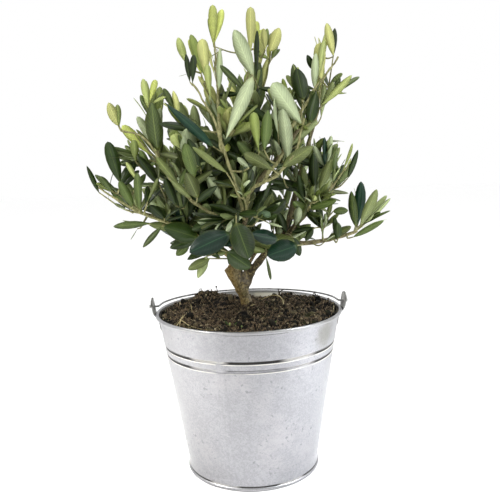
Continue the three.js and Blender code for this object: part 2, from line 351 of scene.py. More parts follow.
def wallRadius(height):
    top = bucket["height"] - 2 * bucket["beadRadius"]
    rise = max(height - bucket["skirtHeight"], 0) / (top - bucket["skirtHeight"])
    return bucket["bottomRadius"] + (bucket["topRadius"] - bucket["bottomRadius"]) * rise


def arc(middle, radius, first, last, steps):
    turns = [math.radians(first + (last - first) * i / steps) for i in range(steps + 1)]
    return [(middle[0] + radius * math.cos(turn), middle[1] + radius * math.sin(turn)) for turn in turns]


# radius, height, share of the grooves and painted light: from the ground up the outside, then down the
# inside.
# Painted light above 0 is painted shade in the creases and on the grooves' upper flanks, and below 0 a
# painted highlight that makes the metal bright.
def bucketOutline():
    foot, ring = bucket["footRadius"], bucket["footRadius"] - bucket["footWidth"]
    bead, thick = bucket["beadRadius"], bucket["thickness"]
    chime = bucket["footHeight"] / 2
    line = [(ring + 0.3 * mm, 0.0)]
    line += arc((foot - chime, chime), chime, -90, 75, 9)
    # a faint painted highlight on the foot ring, then painted shade in the crease above it
    line = [(*spot, 0.0, -0.2) for spot in line]
    line.append((wallRadius(0) + 0.25 * mm, bucket["footHeight"] + 0.1 * mm, 0.0, 1.0))
    line.append((wallRadius(0), bucket["footHeight"] + bucket["footCrease"], 0.0, 0.6))
    levels = [bucket["footHeight"] + 1.6 * mm, 6 * mm, 8 * mm, bucket["skirtHeight"], 10.5 * mm]
    levels += list(np.arange(16 * mm, 103 * mm, 6 * mm))
    line += [(wallRadius(level), level, 0.0, 0.0) for level in levels]
    half = bucket["grooveHalfWidth"]
    for middle in bucket["grooveHeights"]:
        for part in np.linspace(-1.15, 1.15, 13):
            share = 0.5 + 0.5 * math.cos(math.pi * min(abs(part), 1))
            level = middle + part * half
            # painted shade on the upper flank of each groove, a painted highlight on its lower flank
            grime = 1.2 * max(1 - ((part - 0.2) / 0.85) ** 2, 0) - max(1 - ((part + 0.85) / 0.3) ** 2, 0)
            line.append((wallRadius(level), level, share, grime))
    base = bucket["height"] - 2 * bead
    levels = np.linspace(118 * mm, base - bucket["rimCrease"], 4)
    line += [(wallRadius(level), level, 0.0, 0.0) for level in levels]
    # painted shade in the crease under the rim bead, turning to a painted highlight on the bead's top
    line.append((wallRadius(base) + 0.05 * mm, base - 0.1 * mm, 0.0, 0.9))
    rim = arc((bucket["rimRadius"] - bead, bucket["height"] - bead), bead, -75, 180, 13)
    line += [(*spot, 0.0, max(0.9 - 0.5 * i, -0.25)) for i, spot in enumerate(rim)]
    levels = np.linspace(base - 0.6 * mm, bucket["skirtHeight"], 12)
    inside = [(wallRadius(level) - thick, level) for level in levels]
    inside.append((wallRadius(0) - thick, bucket["footHeight"]))
    inside += [(ring, bucket["footHeight"] - 0.6 * mm), (ring, 0.3 * mm)]
    # the inside takes a full painted highlight
    return line + [(*spot, 0.0, -1.0) for spot in inside]


def onSheet(radius, height):  # 1 on the outer face of the wall, between its creases
    low = bucket["footHeight"] + bucket["footCrease"]
    high = bucket["height"] - 2 * bucket["beadRadius"] - bucket["rimCrease"]
    return float(low < height < high and radius == wallRadius(height))


def bucketTree():
    inputs = {"Segments": "Int", "Rows": "Int", "Depth": "Float", "Seam": "Float", "SeamWidth": "Float"}
    tree = Growth("bucketTurning", **inputs, Lap="Float", Zinc="Material")
    given = tree.given
    rows, segments, width = given.beside("Rows"), given.beside("Segments"), given.beside("SeamWidth")
    sockets = {"Size X": 1.0, "Size Y": 1.0, "Vertices X": rows + 1, "Vertices Y": segments + 1}
    sheet = tree.node("GeometryNodeMeshGrid", None, sockets)
    x, y, _ = tree.split(tree.node("GeometryNodeInputPosition"))
    row = tree.maths("FLOORED_MODULO", tree.maths("ROUND", (x + 0.5) * rows), rows)
    heading = (y + 0.5) * (2 * math.pi)
    cosine, sine = tree.maths("COSINE", heading), tree.maths("SINE", heading)

    def sampled(value, kind="FLOAT"):  # what the outline holds at this row
        sockets = {"Geometry": given, "Value": value, "Index": row}
        return tree.node("GeometryNodeSampleIndex", {"data_type": kind}, sockets)

    radius, _, height = tree.split(sampled(tree.node("GeometryNodeInputPosition"), "FLOAT_VECTOR"))
    share, outer, grime = (sampled(tree.named(name)) for name in ("share", "outer", "stain"))

    # the grooves fade out beside the lap, and the lapped edge stands a little proud
    aside = (heading - given.beside("Seam")) * radius
    fade = tree.maths("ABSOLUTE", aside).ramp(width * 0.4, width * 1.3)
    step = aside.ramp(-0.2 * mm, 0.2 * mm) * (1 - aside.ramp(width, width * 1.3))
    pressed = share * (fade * 0.85 + 0.15)
    around = tree.join(cosine, sine, height * 10)
    dents = tree.node("ShaderNodeTexNoise", None, {"Vector": around, "Scale": 2.3, "Detail": 1.0})
    reach = radius - pressed * given.beside("Depth") + step * outer * given.beside("Lap")
    reach = reach + (dents - 0.5) * (outer * 0.5 * mm)
    spot = tree.join(cosine * reach, sine * reach, height)
    # the painted shade of the lower groove fades in front
    front = 1 - cosine ** 2
    lessShade = front * share.ramp(0.0, 0.3) * height.ramp(113 * mm, 110 * mm)
    # the outline's painted light, weaker beside the lap and in front on the lower groove
    shape = tree.keep(sheet, "grime", grime * (fade * 0.75 + 0.25) * (1 - lessShade))
    shape = tree.keep(shape, "lap", step * outer)
    shape = tree.node("GeometryNodeSetPosition", None, {"Geometry": shape, "Position": spot})
    shape = tree.node("GeometryNodeMergeByDistance", None, {"Geometry": shape, "Distance": 0.004 * mm})
    shape = tree.node("GeometryNodeSetShadeSmooth", None, {"Geometry": shape})
    tree.end(shape, (given.beside("Zinc"), None))
    return tree


def zincFinish():
    zinc = Finish("galvanisedZinc", Metallic=1.0, Roughness=0.4)
    cloud = zinc.noise(20, 3, 0.55)
    mottle = zinc.noise(210, 5, 0.7)
    cell, fleck = zinc.cells(260), zinc.cells(1100)
    pits = zinc.noise(270, 3, 0.55).ramp(0.6, 0.7) * zinc.noise(40, 2).ramp(0.46, 0.6)
    grime, lap = zinc.stored("grime"), zinc.stored("lap")
    tone = cloud * 0.34 + mottle * 0.30 + cell * 0.12 + fleck * 0.24
    shade = zinc.blend(tone.ramp(0.3, 0.7), linear(bucket["darkZinc"]), linear(bucket["lightZinc"]))
    shade = zinc.blend(cloud.ramp(0.52, 0.7) * 0.12, shade, linear((0.80, 0.77, 0.77)))
    shade = zinc.blend(pits * 0.5, shade, linear((0.45, 0.46, 0.48)))
    x, y, _ = zinc.split(zinc.place)
    # stretches around the bucket where the painted shade in the grooves is darkest
    heading = zinc.maths("ARCTAN2", y, x) - math.radians(bucket["shadedHeading"])
    wave = zinc.maths("COSINE", heading * bucket["shadedStretches"]) * 0.5 + 0.5
    shadedStretch = (wave + (zinc.noise(40, 2) - 0.5) * 0.6).ramp(0.12, 0.5)
    # painted shade in the creases, under the rim and on the upper flanks of the grooves, strongest in those
    # stretches
    shade = zinc.blend(grime.ramp(-0.05, 0.5) * (shadedStretch * 0.85 + 0.05), shade, linear((0.10, 0.09, 0.07)))
    # between those stretches the grooves are painted lighter
    shade = zinc.blend(grime.ramp(0.0, 0.6) * (1 - shadedStretch) * 0.35, shade, linear((0.80, 0.78, 0.73)))
    # painted highlight on the rim bead, the foot ring, the lower flanks of the grooves and the inside
    shine = grime.ramp(-0.1, -0.9) * (1 - cloud.ramp(0.52, 0.62) * 0.7)
    shade = zinc.blend(shine * 0.95, shade, linear((0.99, 0.98, 0.94)))
    # painted shade along the edges of the lap's step
    shade = zinc.blend(lap * (1 - lap) * 0.45, shade, linear((0.5, 0.5, 0.51)))
    tarnish = (zinc.away(bucket["tarnish"]) + (mottle - 0.5) * (12 * mm)).ramp(19 * mm, 4 * mm)
    shade = zinc.blend(tarnish * 0.5, shade, linear((0.36, 0.35, 0.27)))
    zinc.feed(Base_Color=shade, Roughness=0.27 + mottle * 0.10 + cell * 0.06 + pits * 0.2)
    zinc.bump(mottle * 0.5 + fleck * 0.25 + cloud * 2.0, 0.10, 0.25 * mm)
    return zinc.material


zinc = zincFinish()
radii, heights, shares, paintedLights = zip(*bucketOutline())
ring = meshOf(
    "bucketOutline",
    [(radius, 0.0, height) for radius, height in zip(radii, heights)],
    share=shares,
    stain=paintedLights,
    outer=[onSheet(radius, height) for radius, height in zip(radii, heights)],
)
bucketWall = bucketTree().run(
    "bucketWall", ring,
    Segments=bucket["segments"],
    Rows=len(radii),
    Depth=bucket["grooveDepth"],
    Seam=math.radians(bucket["seamHeading"]),
    SeamWidth=bucket["seamWidth"],
    Lap=bucket["lap"],
    Zinc=zinc,
)
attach(bucketWall, "planter")
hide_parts("bucket_wall")
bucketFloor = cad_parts["bucket_floor"]
bucketFloor.data.materials.clear()
bucketFloor.data.materials.append(zinc)
print("bucket turned:", len(bucketWall.data.polygons), "faces")


# the ears and the wire that hinges in them
ear = {
    "width": 12 * mm,
    "thickness": 1.0 * mm,
    "footHeight": 124 * mm,
    "shoulderHeight": 136 * mm,
    "clearHeight": 140.5 * mm,
    "topHeight": 155 * mm,
    "lean": 9,  # of the free end, outward in degrees
    "twist": (4, 12),  # turn of the free end towards the front in degrees, left and right
    "holeRadius": 1.2 * mm,
    "edgeRound": 0.2 * mm,
    "cup": 0.7 * mm,  # how far its sides curl outward
    "gap": 0.3 * mm,
    "rivetHeights": (128.5 * mm, 133 * mm),
    "rivetRadius": 1.5 * mm,
    "shades": ((0.68, 0.68, 0.67), (0.88, 0.88, 0.87)),
    "dirt": (0.30, 0.28, 0.26),
    "edgeDark": (0.13, 0.12, 0.10),
}
bail = {
    "pivotHeight": 147 * mm,
    "wireRadius": 0.8 * mm,
    "span": 80.5 * mm,  # half the distance between its two ends' bends
    "reach": 81.3 * mm,
    "pinEnd": 88.3 * mm,
    "headRadius": 1.45 * mm,
    "seatGap": 0.3 * mm,  # between the folded wire and the rim
    "shades": ((0.40, 0.40, 0.40), (0.66, 0.66, 0.65)),
}


def earBend(height):  # distance of the strap's inner face from the bucket axis
    clear = bucket["rimRadius"] + ear["gap"]
    lean = math.tan(math.radians(ear["lean"]))
    levels = [ear["footHeight"], ear["shoulderHeight"], ear["clearHeight"], ear["topHeight"]]
    wall = [wallRadius(level) + ear["gap"] for level in levels[:2]]
    top = clear + (ear["topHeight"] - ear["clearHeight"]) * lean
    return float(np.interp(height, levels, [*wall, clear, top]))


def wallHollow(across, height):  # the strap's foot follows the round wall
    share = (height - ear["shoulderHeight"]) / (ear["clearHeight"] - ear["shoulderHeight"])
    share = 1 - min(max(share, 0), 1)
    return share * across * across / (2 * wallRadius(height))


def earPlate(name):  # the strap laid flat, with its hole
    half, soft = ear["width"] / 2, ear["edgeRound"]
    plate = bpy.data.curves.new(name, "CURVE")
    plate.dimensions = "2D"
    plate.fill_mode = "BOTH"
    plate.extrude = ear["thickness"] / 2 - soft
    plate.bevel_depth = soft
    plate.bevel_resolution = 2
    edge = arc((0, ear["topHeight"] - half), half - soft, 0, 180, 16)
    edge += arc((0, ear["footHeight"] + half), half - soft, 180, 360, 16)
    hole = arc((0, bail["pivotHeight"]), ear["holeRadius"] + soft, 360, 22.5, 15)
    for loop in (edge, hole):
        spline = plate.splines.new("POLY")
        spline.points.add(len(loop) - 1)
        spline.points.foreach_set("co", [value for x, y in loop for value in (x, y, 0, 1)])
        spline.use_cyclic_u = True
    flat = addObject(name + "Flat", plate)
    shape = plainMesh(flat)
    bpy.data.objects.remove(flat)
    return shape


def cutRows(work, places, axis):  # rows of edges along which the plate can bend
    for place in places:
        everything = work.verts[:] + work.edges[:] + work.faces[:]
        bmesh.ops.bisect_plane(work, geom=everything, plane_co=axis * float(place), plane_no=axis)


def bentStrap(corner, side):  # from the flat plate to its place on the wall
    across, height, depth = corner
    bulge = max(height - ear["shoulderHeight"], 0) / (ear["topHeight"] - ear["shoulderHeight"])
    curl = ear["cup"] * (across / (ear["width"] / 2)) ** 2 * min(bulge * 3, 1)
    reach = earBend(height) + ear["thickness"] / 2 - wallHollow(across, height)
    turn = math.radians(ear["twist"][side > 0]) * min(bulge * 2.2, 1)
    aside = across * math.cos(turn) + (depth + curl) * math.sin(turn)
    reach += (depth + curl) * math.cos(turn) - across * math.sin(turn)
    return side * reach, aside, height


def addRivet(work, side, height):
    sizes = {"u_segments": 14, "v_segments": 8, "radius": ear["rivetRadius"]}
    centre = earBend(height) + ear["thickness"]
    for corner in bmesh.ops.create_uvsphere(work, **sizes)["verts"]:
        x, y, z = corner.co
        corner.co = (side * (centre + z * 0.45), x, height + y)


def addEar(name, side, node):
    shape = earPlate(name)
    work = bmesh.new()
    work.from_mesh(shape)
    bmesh.ops.remove_doubles(work, verts=work.verts, dist=0.005 * mm)
    cutRows(work, np.linspace(ear["footHeight"] + 2 * mm, ear["topHeight"] - 2 * mm, 15), Vector((0, 1, 0)))
    cutRows(work, np.linspace(-4.5 * mm, 4.5 * mm, 7), Vector((1, 0, 0)))
    for corner in work.verts:
        corner.co = bentStrap(corner.co, side)
    for level in ear["rivetHeights"]:
        addRivet(work, side, level)
    bmesh.ops.recalc_face_normals(work, faces=work.faces)
    work.to_mesh(shape)
    work.free()
    piece = addObject(name, shape)
    shape.polygons.foreach_set("use_smooth", [True] * len(shape.polygons))
    shape.materials.append(wornZinc)
    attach(piece, "planter")
    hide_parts(node)


def strapFinish():
    strap = Finish("wornStrapZinc", Metallic=1.0, Roughness=0.36)
    wear = strap.noise(300, 4, 0.6)
    dirt = strap.noise(120, 3, 0.5)
    shade = strap.blend(wear.ramp(0.3, 0.7), *map(linear, ear["shades"]))
    shade = strap.blend(dirt.ramp(0.52, 0.7) * 0.6, shade, linear(ear["dirt"]))
    _, across, height = strap.split(strap.place)
    # darker towards the edges of the strap, unevenly
    above = strap.maths("MAXIMUM", height - (ear["topHeight"] - ear["width"] / 2), 0.0)
    edge = strap.maths("SQRT", across * across + above * above) / (ear["width"] / 2)
    shade = strap.blend(edge.ramp(0.7, 0.95) * (0.15 + dirt * 0.9), shade, linear(ear["edgeDark"]))
    strap.feed(Base_Color=shade, Roughness=0.3 + wear * 0.25)
    strap.bump(wear, 0.2, 0.2 * mm)
    return strap.material


def sweepTree():  # a round bar along each polyline, as thick as its points say
    tree = Growth("sweep", Sides="Int", Surface="Material")
    path = tree.node("GeometryNodeMeshToCurve", None, {"Mesh": tree.given})
    girth = tree.named("girth")
    sockets = {"Resolution": tree.given.beside("Sides"), "Radius": 1.0}
    section = tree.node("GeometryNodeCurvePrimitiveCircle", None, sockets)
    path = tree.node("GeometryNodeSetCurveRadius", None, {"Curve": path, "Radius": girth})
    sockets = {"Curve": path, "Profile Curve": section, "Fill Caps": True}
    bar = tree.node("GeometryNodeCurveToMesh", None, sockets)
    if "Scale" in bar.socket.node.inputs:  # a newer node takes the girth there
        tree.tree.links.new(girth.socket, bar.socket.node.inputs["Scale"])
    bar = tree.node("GeometryNodeSetShadeSmooth", None, {"Geometry": bar})
    tree.end(bar, (tree.given.beside("Surface"), None))
    return tree


def smoothed(points, count):  # a smooth curve through the points, evenly stepped
    points = np.asarray(points, dtype=float)
    padded = np.vstack([2 * points[0] - points[1], points, 2 * points[-1] - points[-2]])
    dense = []
    for i in range(len(points) - 1):
        a, b, c, d = padded[i:i + 4]
        square, cube = 2 * a - 5 * b + 4 * c - d, 3 * b - a - 3 * c + d
        for t in np.linspace(0, 1, 12, endpoint=False):
            dense.append(0.5 * (2 * b + (c - a) * t + square * t * t + cube * t ** 3))
    dense = np.vstack([*dense, points[-1]])
    travel = np.concatenate([[0], np.cumsum(np.linalg.norm(np.diff(dense, axis=0), axis=1))])
    steps = np.linspace(0, travel[-1], count)
    return np.column_stack([np.interp(steps, travel, dense[:, axis]) for axis in range(3)])


def polylines(name, paths):  # paths are lists of points with a radius each
    corners, edges, girth = [], [], []
    for points, radii in paths:
        first = len(corners)
        corners += [tuple(point) for point in points]
        girth += [float(radius) for radius in radii]
        edges += [(first + i, first + i + 1) for i in range(len(points) - 1)]
    return meshOf(name, corners, edges=edges, girth=girth)


def bailPath():  # the headed pin, the bend inside the ear, the hoop, and the same again mirrored
    rest = bucket["height"] + bail["seatGap"] + bail["wireRadius"]
    tilt = -math.asin((bail["pivotHeight"] - rest) / bail["reach"])
    wire, head, end, span = bail["wireRadius"], bail["headRadius"], bail["pinEnd"], bail["span"]
    line = [(-end, 0, 0.6 * wire), (-end, 0, head), (-end + 1.1 * mm, 0, head), (-end + 1.15 * mm, 0, wire)]
    bends = [(-3 * mm, 0), (-1.2 * mm, 0.1 * mm), (-0.2 * mm, 0.9 * mm)]
    bends += [(0.3 * mm, 3 * mm), (0.8 * mm, 9 * mm)]
    line += [(-span + inward, ahead, wire) for inward, ahead in bends]
    turns = [math.pi * (1 - i / 72) for i in range(5, 68)]
    hoop = [(span * math.cos(turn), bail["reach"] * math.sin(turn), wire) for turn in turns]
    line += hoop + [(-x, y, radius) for x, y, radius in reversed(line)]
    points = [(x, y * math.cos(tilt), bail["pivotHeight"] + y * math.sin(tilt)) for x, y, _ in line]
    return points, [radius for _, _, radius in line]


def wireFinish():
    steel = Finish("bailWire", Metallic=1.0, Roughness=0.33)
    wear = steel.noise(260, 4, 0.6)
    shade = steel.blend(wear.ramp(0.35, 0.7), *map(linear, bail["shades"]))
    steel.feed(Base_Color=shade, Roughness=0.25 + wear * 0.3)
    steel.bump(wear, 0.15, 0.15 * mm)
    return steel.material


wornZinc = strapFinish()
addEar("earRight", 1, "ear_right")
addEar("earLeft", -1, "ear_left")
sweep = sweepTree()
wirePath = polylines("bailPath", [bailPath()])
bailWire = sweep.run("bailWire", wirePath, drop=("girth",), Sides=12, Surface=wireFinish())
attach(bailWire, "bail")
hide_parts("bail")
print("ears and bail made")


# the peat in the bucket and what lies on it
peat = {
    "seed": 5,
    "rings": 64,
    "sectors": 150,
    "swell": 4.2 * mm,  # height of the lumps
    "lumps": ((75, 0.75), (330, 0.6)),  # fineness and share of the broad lumps and of the fine ones
    "edgeRise": 6.0 * mm,  # how far the peat banks up against the wall
    "buried": (60 * mm, 9 * mm, 5.6 * mm),  # heights of the rings out of sight
    "crumbs": 280000,  # per square metre
    "crumbRadius": (0.35 * mm, 1.4 * mm),
    "clods": 15000,
    "clodRadius": (1.2 * mm, 3.8 * mm),
    "crumbsAbove": 125 * mm,
    "level": 138 * mm,  # of its edge at the wall
    "wallGap": 0.15 * mm,
    "fibres": 2300,
    "fibreSizes": ((0.1 * mm, 0.24 * mm), (3 * mm, 12 * mm)),  # girth and length
    "straws": 30,
    "strawSizes": ((0.15 * mm, 0.3 * mm), (2 * mm, 7 * mm)),
    "stalks": 40,
    "stalkSizes": ((0.3 * mm, 0.6 * mm), (3 * mm, 8 * mm)),
}
peatShades = {  # hollows darkened with painted shade, lighter ridges, and specks
    "darkPeat": ((0.035, 0.034, 0.024), (0.12, 0.11, 0.08), (0.33, 0.29, 0.20)),
    "crumbPeat": ((0.03, 0.029, 0.022), (0.235, 0.215, 0.165), (0.70, 0.65, 0.53)),
    "clodPeat": ((0.028, 0.027, 0.021), (0.165, 0.15, 0.115), (0.36, 0.325, 0.245)),
}
strandShades = {
    "peatFibre": ((0.19, 0.15, 0.11), (0.52, 0.44, 0.33)),
    "paleStraw": ((0.50, 0.45, 0.30), (0.76, 0.70, 0.52)),
    "darkStalk": ((0.12, 0.09, 0.06), (0.30, 0.24, 0.17)),
}
banks = [  # mounds and hollows: place, height, spread in mm
    (-45, 60, 6.5, 12),
    (-66, 34, 3.0, 12),
    (-33, 64, 2.5, 9),
    (8, 74, -5.5, 22),
    (36, 50, 3.5, 9),
    (68, 26, 3.5, 13),
    (76, 2, 2.0, 10),
    (-76, 12, 2.0, 10),
    (30, 40, 1.5, 8),
    (-30, -25, 1.2, 12),
    (38, -18, 1.2, 12),
]
litter = {  # single pieces lying on the peat: girth, then points with their height above it, in mm
    "crossedStraw": (0.4, (-64, -16, 1), (-56, -36, 2), (-48, -52, 1.5), (-38, -60, 0.5)),
    "crossingStraw": (0.4, (-60, -47, 0), (-57, -38, 3), (-54, -30, 5.5)),
    "shortStraw": (0.35, (-57, -50, 0), (-57, -40, 3), (-56, -30, 5)),
    "archedRoot": (0.6, (10, 40, 0), (15, 42, 2), (24, 43, 3.5), (30, 33, 3.5), (32, 18, 2.5), (31, 5, 0)),
    "shortRoot": (0.8, (-1, 1, 0.5), (3, 6, 2), (7, 14, 0.5)),
    "paleGrain": (0.5, (0, -58, 0.6), (0.5, -58, 1), (1, -58, 0.6)),
    "paleStem": (0.35, (-50.6, -7, 0), (-50.3, -7, 5), (-51, -7, 9.5)),
}
darkLitter = {  # the same, of dark wood
    "stalk": (0.4, (-29, 57, -1), (-30, 57, 4), (-31, 57, 8)),
    "stalkKnob": (0.8, (-31, 57, 7.4), (-31.1, 57, 8.3), (-31.2, 57, 9)),
    "twig": (0.7, (31, 48, -2), (30, 48, 3), (29, 47, 6.5)),
    "twigFork": (0.5, (30, 48, 3), (33, 47, 5), (35, 46, 5.5)),
}


def cornersOf(node):  # a node's triangles as an array
    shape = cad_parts[node].data
    spots = np.empty(len(shape.vertices) * 3)
    shape.vertices.foreach_get("co", spots)
    shape.calc_loop_triangles()
    faces = np.empty(len(shape.loop_triangles) * 3, dtype=int)
    shape.loop_triangles.foreach_get("vertices", faces)
    return spots.reshape(-1, 3)[faces].reshape(-1, 3, 3)


def surfaceOf(corners):
    faces = np.arange(len(corners) * 3).reshape(-1, 3)
    return BVHTree.FromPolygons(corners.reshape(-1, 3).tolist(), faces.tolist())


soilSurface = surfaceOf(cornersOf("soil"))
soilEdge = wallRadius(peat["level"]) - bucket["thickness"] - peat["wallGap"]


def soilTop(x, y):  # height of the solid's surface with the banks added
    spot, _, _, _ = soilSurface.ray_cast(Vector((x * 0.985, y * 0.985, 0.3)), Vector((0, 0, -1)))
    level = spot.z if spot else 133.5 * mm
    level += peat["edgeRise"] * (math.hypot(x, y) / soilEdge) ** 2.4
    for east, north, height, spread in banks:
        away = ((x / mm - east) ** 2 + (y / mm - north) ** 2) / spread ** 2
        level += height * mm * math.exp(-away)
    return level


def lumpy(x, y):
    place = Vector((x, y, 0))
    heights = [share * noise.fractal(place * fineness, 0.8, 2.1, 3) for fineness, share in peat["lumps"]]
    return peat["swell"] * sum(heights)


def addSoil():
    corners, faces = [(0, 0, soilTop(0, 0) + lumpy(0, 0))], []
    rings, sectors = peat["rings"], peat["sectors"]
    turns = [2 * math.pi * sector / sectors for sector in range(sectors)]
    for ringIndex in range(1, rings + 1):
        reach = soilEdge * (ringIndex / rings) ** 0.9
        tuck = (ringIndex / rings) ** 30 * 1.2 * mm  # the last rings dip at the wall
        for turn in turns:
            x, y = reach * math.cos(turn), reach * math.sin(turn)
            corners.append((x, y, soilTop(x, y) + lumpy(x, y) - tuck))
    for level in peat["buried"]:
        reach = wallRadius(level) - bucket["thickness"] - 0.2 * mm
        corners += [(reach * math.cos(turn), reach * math.sin(turn), level) for turn in turns]
    bottom = len(corners)
    corners.append((0, 0, peat["buried"][-1]))
    ringCount = rings + len(peat["buried"])
    for sector in range(sectors):
        after = (sector + 1) % sectors
        faces.append((0, 1 + sector, 1 + after))
        for ringIndex in range(ringCount - 1):
            low, high = 1 + ringIndex * sectors, 1 + (ringIndex + 1) * sectors
            faces.append((low + sector, high + sector, high + after, low + after))
        last = 1 + (ringCount - 1) * sectors
        faces.append((bottom, last + after, last + sector))
    return meshOf("soilMound", corners, faces)


def peatFinish(name, dark, light, speck):
    earth = Finish(name, Roughness=0.95)
    earth.shader.inputs["Specular IOR Level"].default_value = 0.2
    tone = earth.stored("tone")
    broad = earth.noise(90, 5, 0.65)
    fine = earth.noise(700, 4, 0.6)
    # the peat's own mottling, dark where the bump sinks: painted shade in the hollows
    height = broad * 0.55 + fine * 0.25 + tone * 0.2
    shade = earth.blend(height.ramp(0.36, 0.68), linear(dark), linear(light))
    shade = earth.blend((tone * 0.8 + fine * 0.4).ramp(0.84, 0.96), shade, linear(speck))
    moss = earth.noise(55, 3).ramp(0.56, 0.68) * 0.5
    shade = earth.blend(moss, shade, linear((0.20, 0.21, 0.10)))
    earth.feed(Base_Color=shade)
    earth.bump(fine * 0.6 + broad * 0.4, 0.7, 0.8 * mm)
    return earth.material


def crumbTree():
    inputs = dict.fromkeys(("Density", "Small", "Large", "Reach", "Above"), "Float")
    tree = Growth("crumbs", **inputs, Facets="Int", Seed="Int", Peat="Material")
    given = tree.given
    x, y, z = tree.split(tree.node("GeometryNodeInputPosition"))
    fromAxis = tree.maths("SQRT", x * x + y * y)
    upper = tree.maths("GREATER_THAN", z, given.beside("Above"))
    upper = upper * tree.maths("LESS_THAN", fromAxis, given.beside("Reach"))
    sockets = {"Mesh": given, "Selection": upper}
    sockets |= {key: given.beside(key) for key in ("Density", "Seed")}
    spots = tree.node("GeometryNodeDistributePointsOnFaces", {"distribute_method": "RANDOM"}, sockets)
    sockets = {"Radius": 1.0, "Subdivisions": given.beside("Facets")}
    lump = tree.node("GeometryNodeMeshIcoSphere", None, sockets)
    turn = tree.random((0, 0, 0), (6.3, 6.3, 6.3), 1, True)
    pick = tree.random(0.0, 1.0, 2)
    size = given.beside("Small") + (given.beside("Large") - given.beside("Small")) * pick ** 2.2
    uneven = tree.random((0.7, 0.7, 0.5), (1.4, 1.1, 1.0), 3, True)
    squash = tree.vector("MULTIPLY", tree.join(size, size, size), uneven)
    sockets = {"Points": spots, "Instance": lump, "Rotation": turn, "Scale": squash}
    crumbs = tree.node("GeometryNodeInstanceOnPoints", None, sockets)
    crumbs = tree.keep(crumbs, "tone", tree.random(0.0, 1.0, 7), "INSTANCE")
    crumbs = tree.node("GeometryNodeRealizeInstances", None, {"Geometry": crumbs})
    here = tree.node("GeometryNodeInputPosition")
    rough = tree.node("ShaderNodeTexNoise", None, {"Vector": here, "Scale": 900.0, "Detail": 1.0}, "Color")
    push = tree.scaled(tree.vector("SUBTRACT", rough, (0.5, 0.5, 0.5)), 1.3 * mm)
    crumbs = tree.node("GeometryNodeSetPosition", None, {"Geometry": crumbs, "Offset": push})
    tree.end(crumbs, (given.beside("Peat"), None))
    return tree


def strands(count, reach, sizes, lengths, seed, lift):  # loose strands that wander over the peat
    dice = random.Random(seed)
    paths = []
    for _ in range(count):
        away = reach * math.sqrt(dice.random())
        turn = dice.uniform(0, 2 * math.pi)
        spot = np.array((away * math.cos(turn), away * math.sin(turn)))
        heading = dice.uniform(0, 2 * math.pi)
        length = dice.uniform(*lengths)
        bend = dice.gauss(0, 0.28)
        girth = dice.uniform(*sizes)
        points = []
        for i in range(6):
            x, y = spot
            if math.hypot(x, y) > reach:
                x, y = np.array((x, y)) * reach / math.hypot(x, y)
            hump = math.sin(math.pi * i / 5) * lift * dice.uniform(0.4, 1.3)
            points.append((x, y, soilTop(x, y) + lumpy(x, y) + hump + girth * 0.6))
            heading += bend + dice.gauss(0, 0.18)
            spot = spot + np.array((math.cos(heading), math.sin(heading))) * length / 5
        radii = [girth * taper for taper in (0.5, 0.9, 1, 1, 0.85, 0.4)]
        paths.append((points, radii))
    return paths


def strandFinish(name, dark, light):
    straw = Finish(name, Roughness=0.8)
    grain = straw.noise(500, 3)
    straw.feed(Base_Color=straw.blend(grain.ramp(0.35, 0.65), linear(dark), linear(light)))
    straw.bump(grain, 0.3, 0.2 * mm)
    return straw.material


def laid(pieces):  # single pieces as paths on the peat
    paths = []
    for girth, *spots in pieces.values():
        onTop = [(x * mm, y * mm, soilTop(x * mm, y * mm) + (z + girth) * mm) for x, y, z in spots]
        taper = np.interp(range(9), (0, 2, 6, 8), (0.7, 1, 1, 0.5))
        paths.append((smoothed(onTop, 9), girth * mm * taper))
    return paths


soilMound = addSoil()
peats = {name: peatFinish(name, *shades) for name, shades in peatShades.items()}
soilMound.data.materials.append(peats["darkPeat"])
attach(soilMound, "planter")
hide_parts("soil")
crumbs = crumbTree()
crumbSets = {  # density, radii, facets, distance kept from the wall and material
    "soilCrumbs": (peat["crumbs"], peat["crumbRadius"], 1, 0.8 * mm, peats["crumbPeat"]),
    "soilClods": (peat["clods"], peat["clodRadius"], 2, 3.6 * mm, peats["clodPeat"]),
}
for name, (density, (small, large), facets, margin, surface) in crumbSets.items():
    base = addObject(name + "Base", soilMound.data.copy())
    piece = crumbs.run(
        name, base,
        Density=density,
        Small=small,
        Large=large,
        Facets=facets,
        Seed=peat["seed"],
        Reach=soilEdge - margin,
        Above=peat["crumbsAbove"],
        Peat=surface,
    )
    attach(piece, "planter")
    print(name, len(piece.data.polygons), "faces")

strandSets = {  # paths and material
    "soilFibres": (
        strands(peat["fibres"], soilEdge - 3 * mm, *peat["fibreSizes"], 21, 1.8 * mm),
        "peatFibre",
    ),
    "soilStraw": (
        strands(peat["straws"], soilEdge - 5 * mm, *peat["strawSizes"], 8, 1.2 * mm) + laid(litter),
        "paleStraw",
    ),
    "soilStalks": (
        strands(peat["stalks"], soilEdge - 5 * mm, *peat["stalkSizes"], 15, 1.8 * mm) + laid(darkLitter),
        "darkStalk",
    ),
}
for name, (paths, skin) in strandSets.items():
    surface = strandFinish(skin, *strandShades[skin])
    piece = sweep.run(name, polylines(name + "Paths", paths), drop=("girth",), Sides=5, Surface=surface)
    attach(piece, "planter")
print("peat laid")


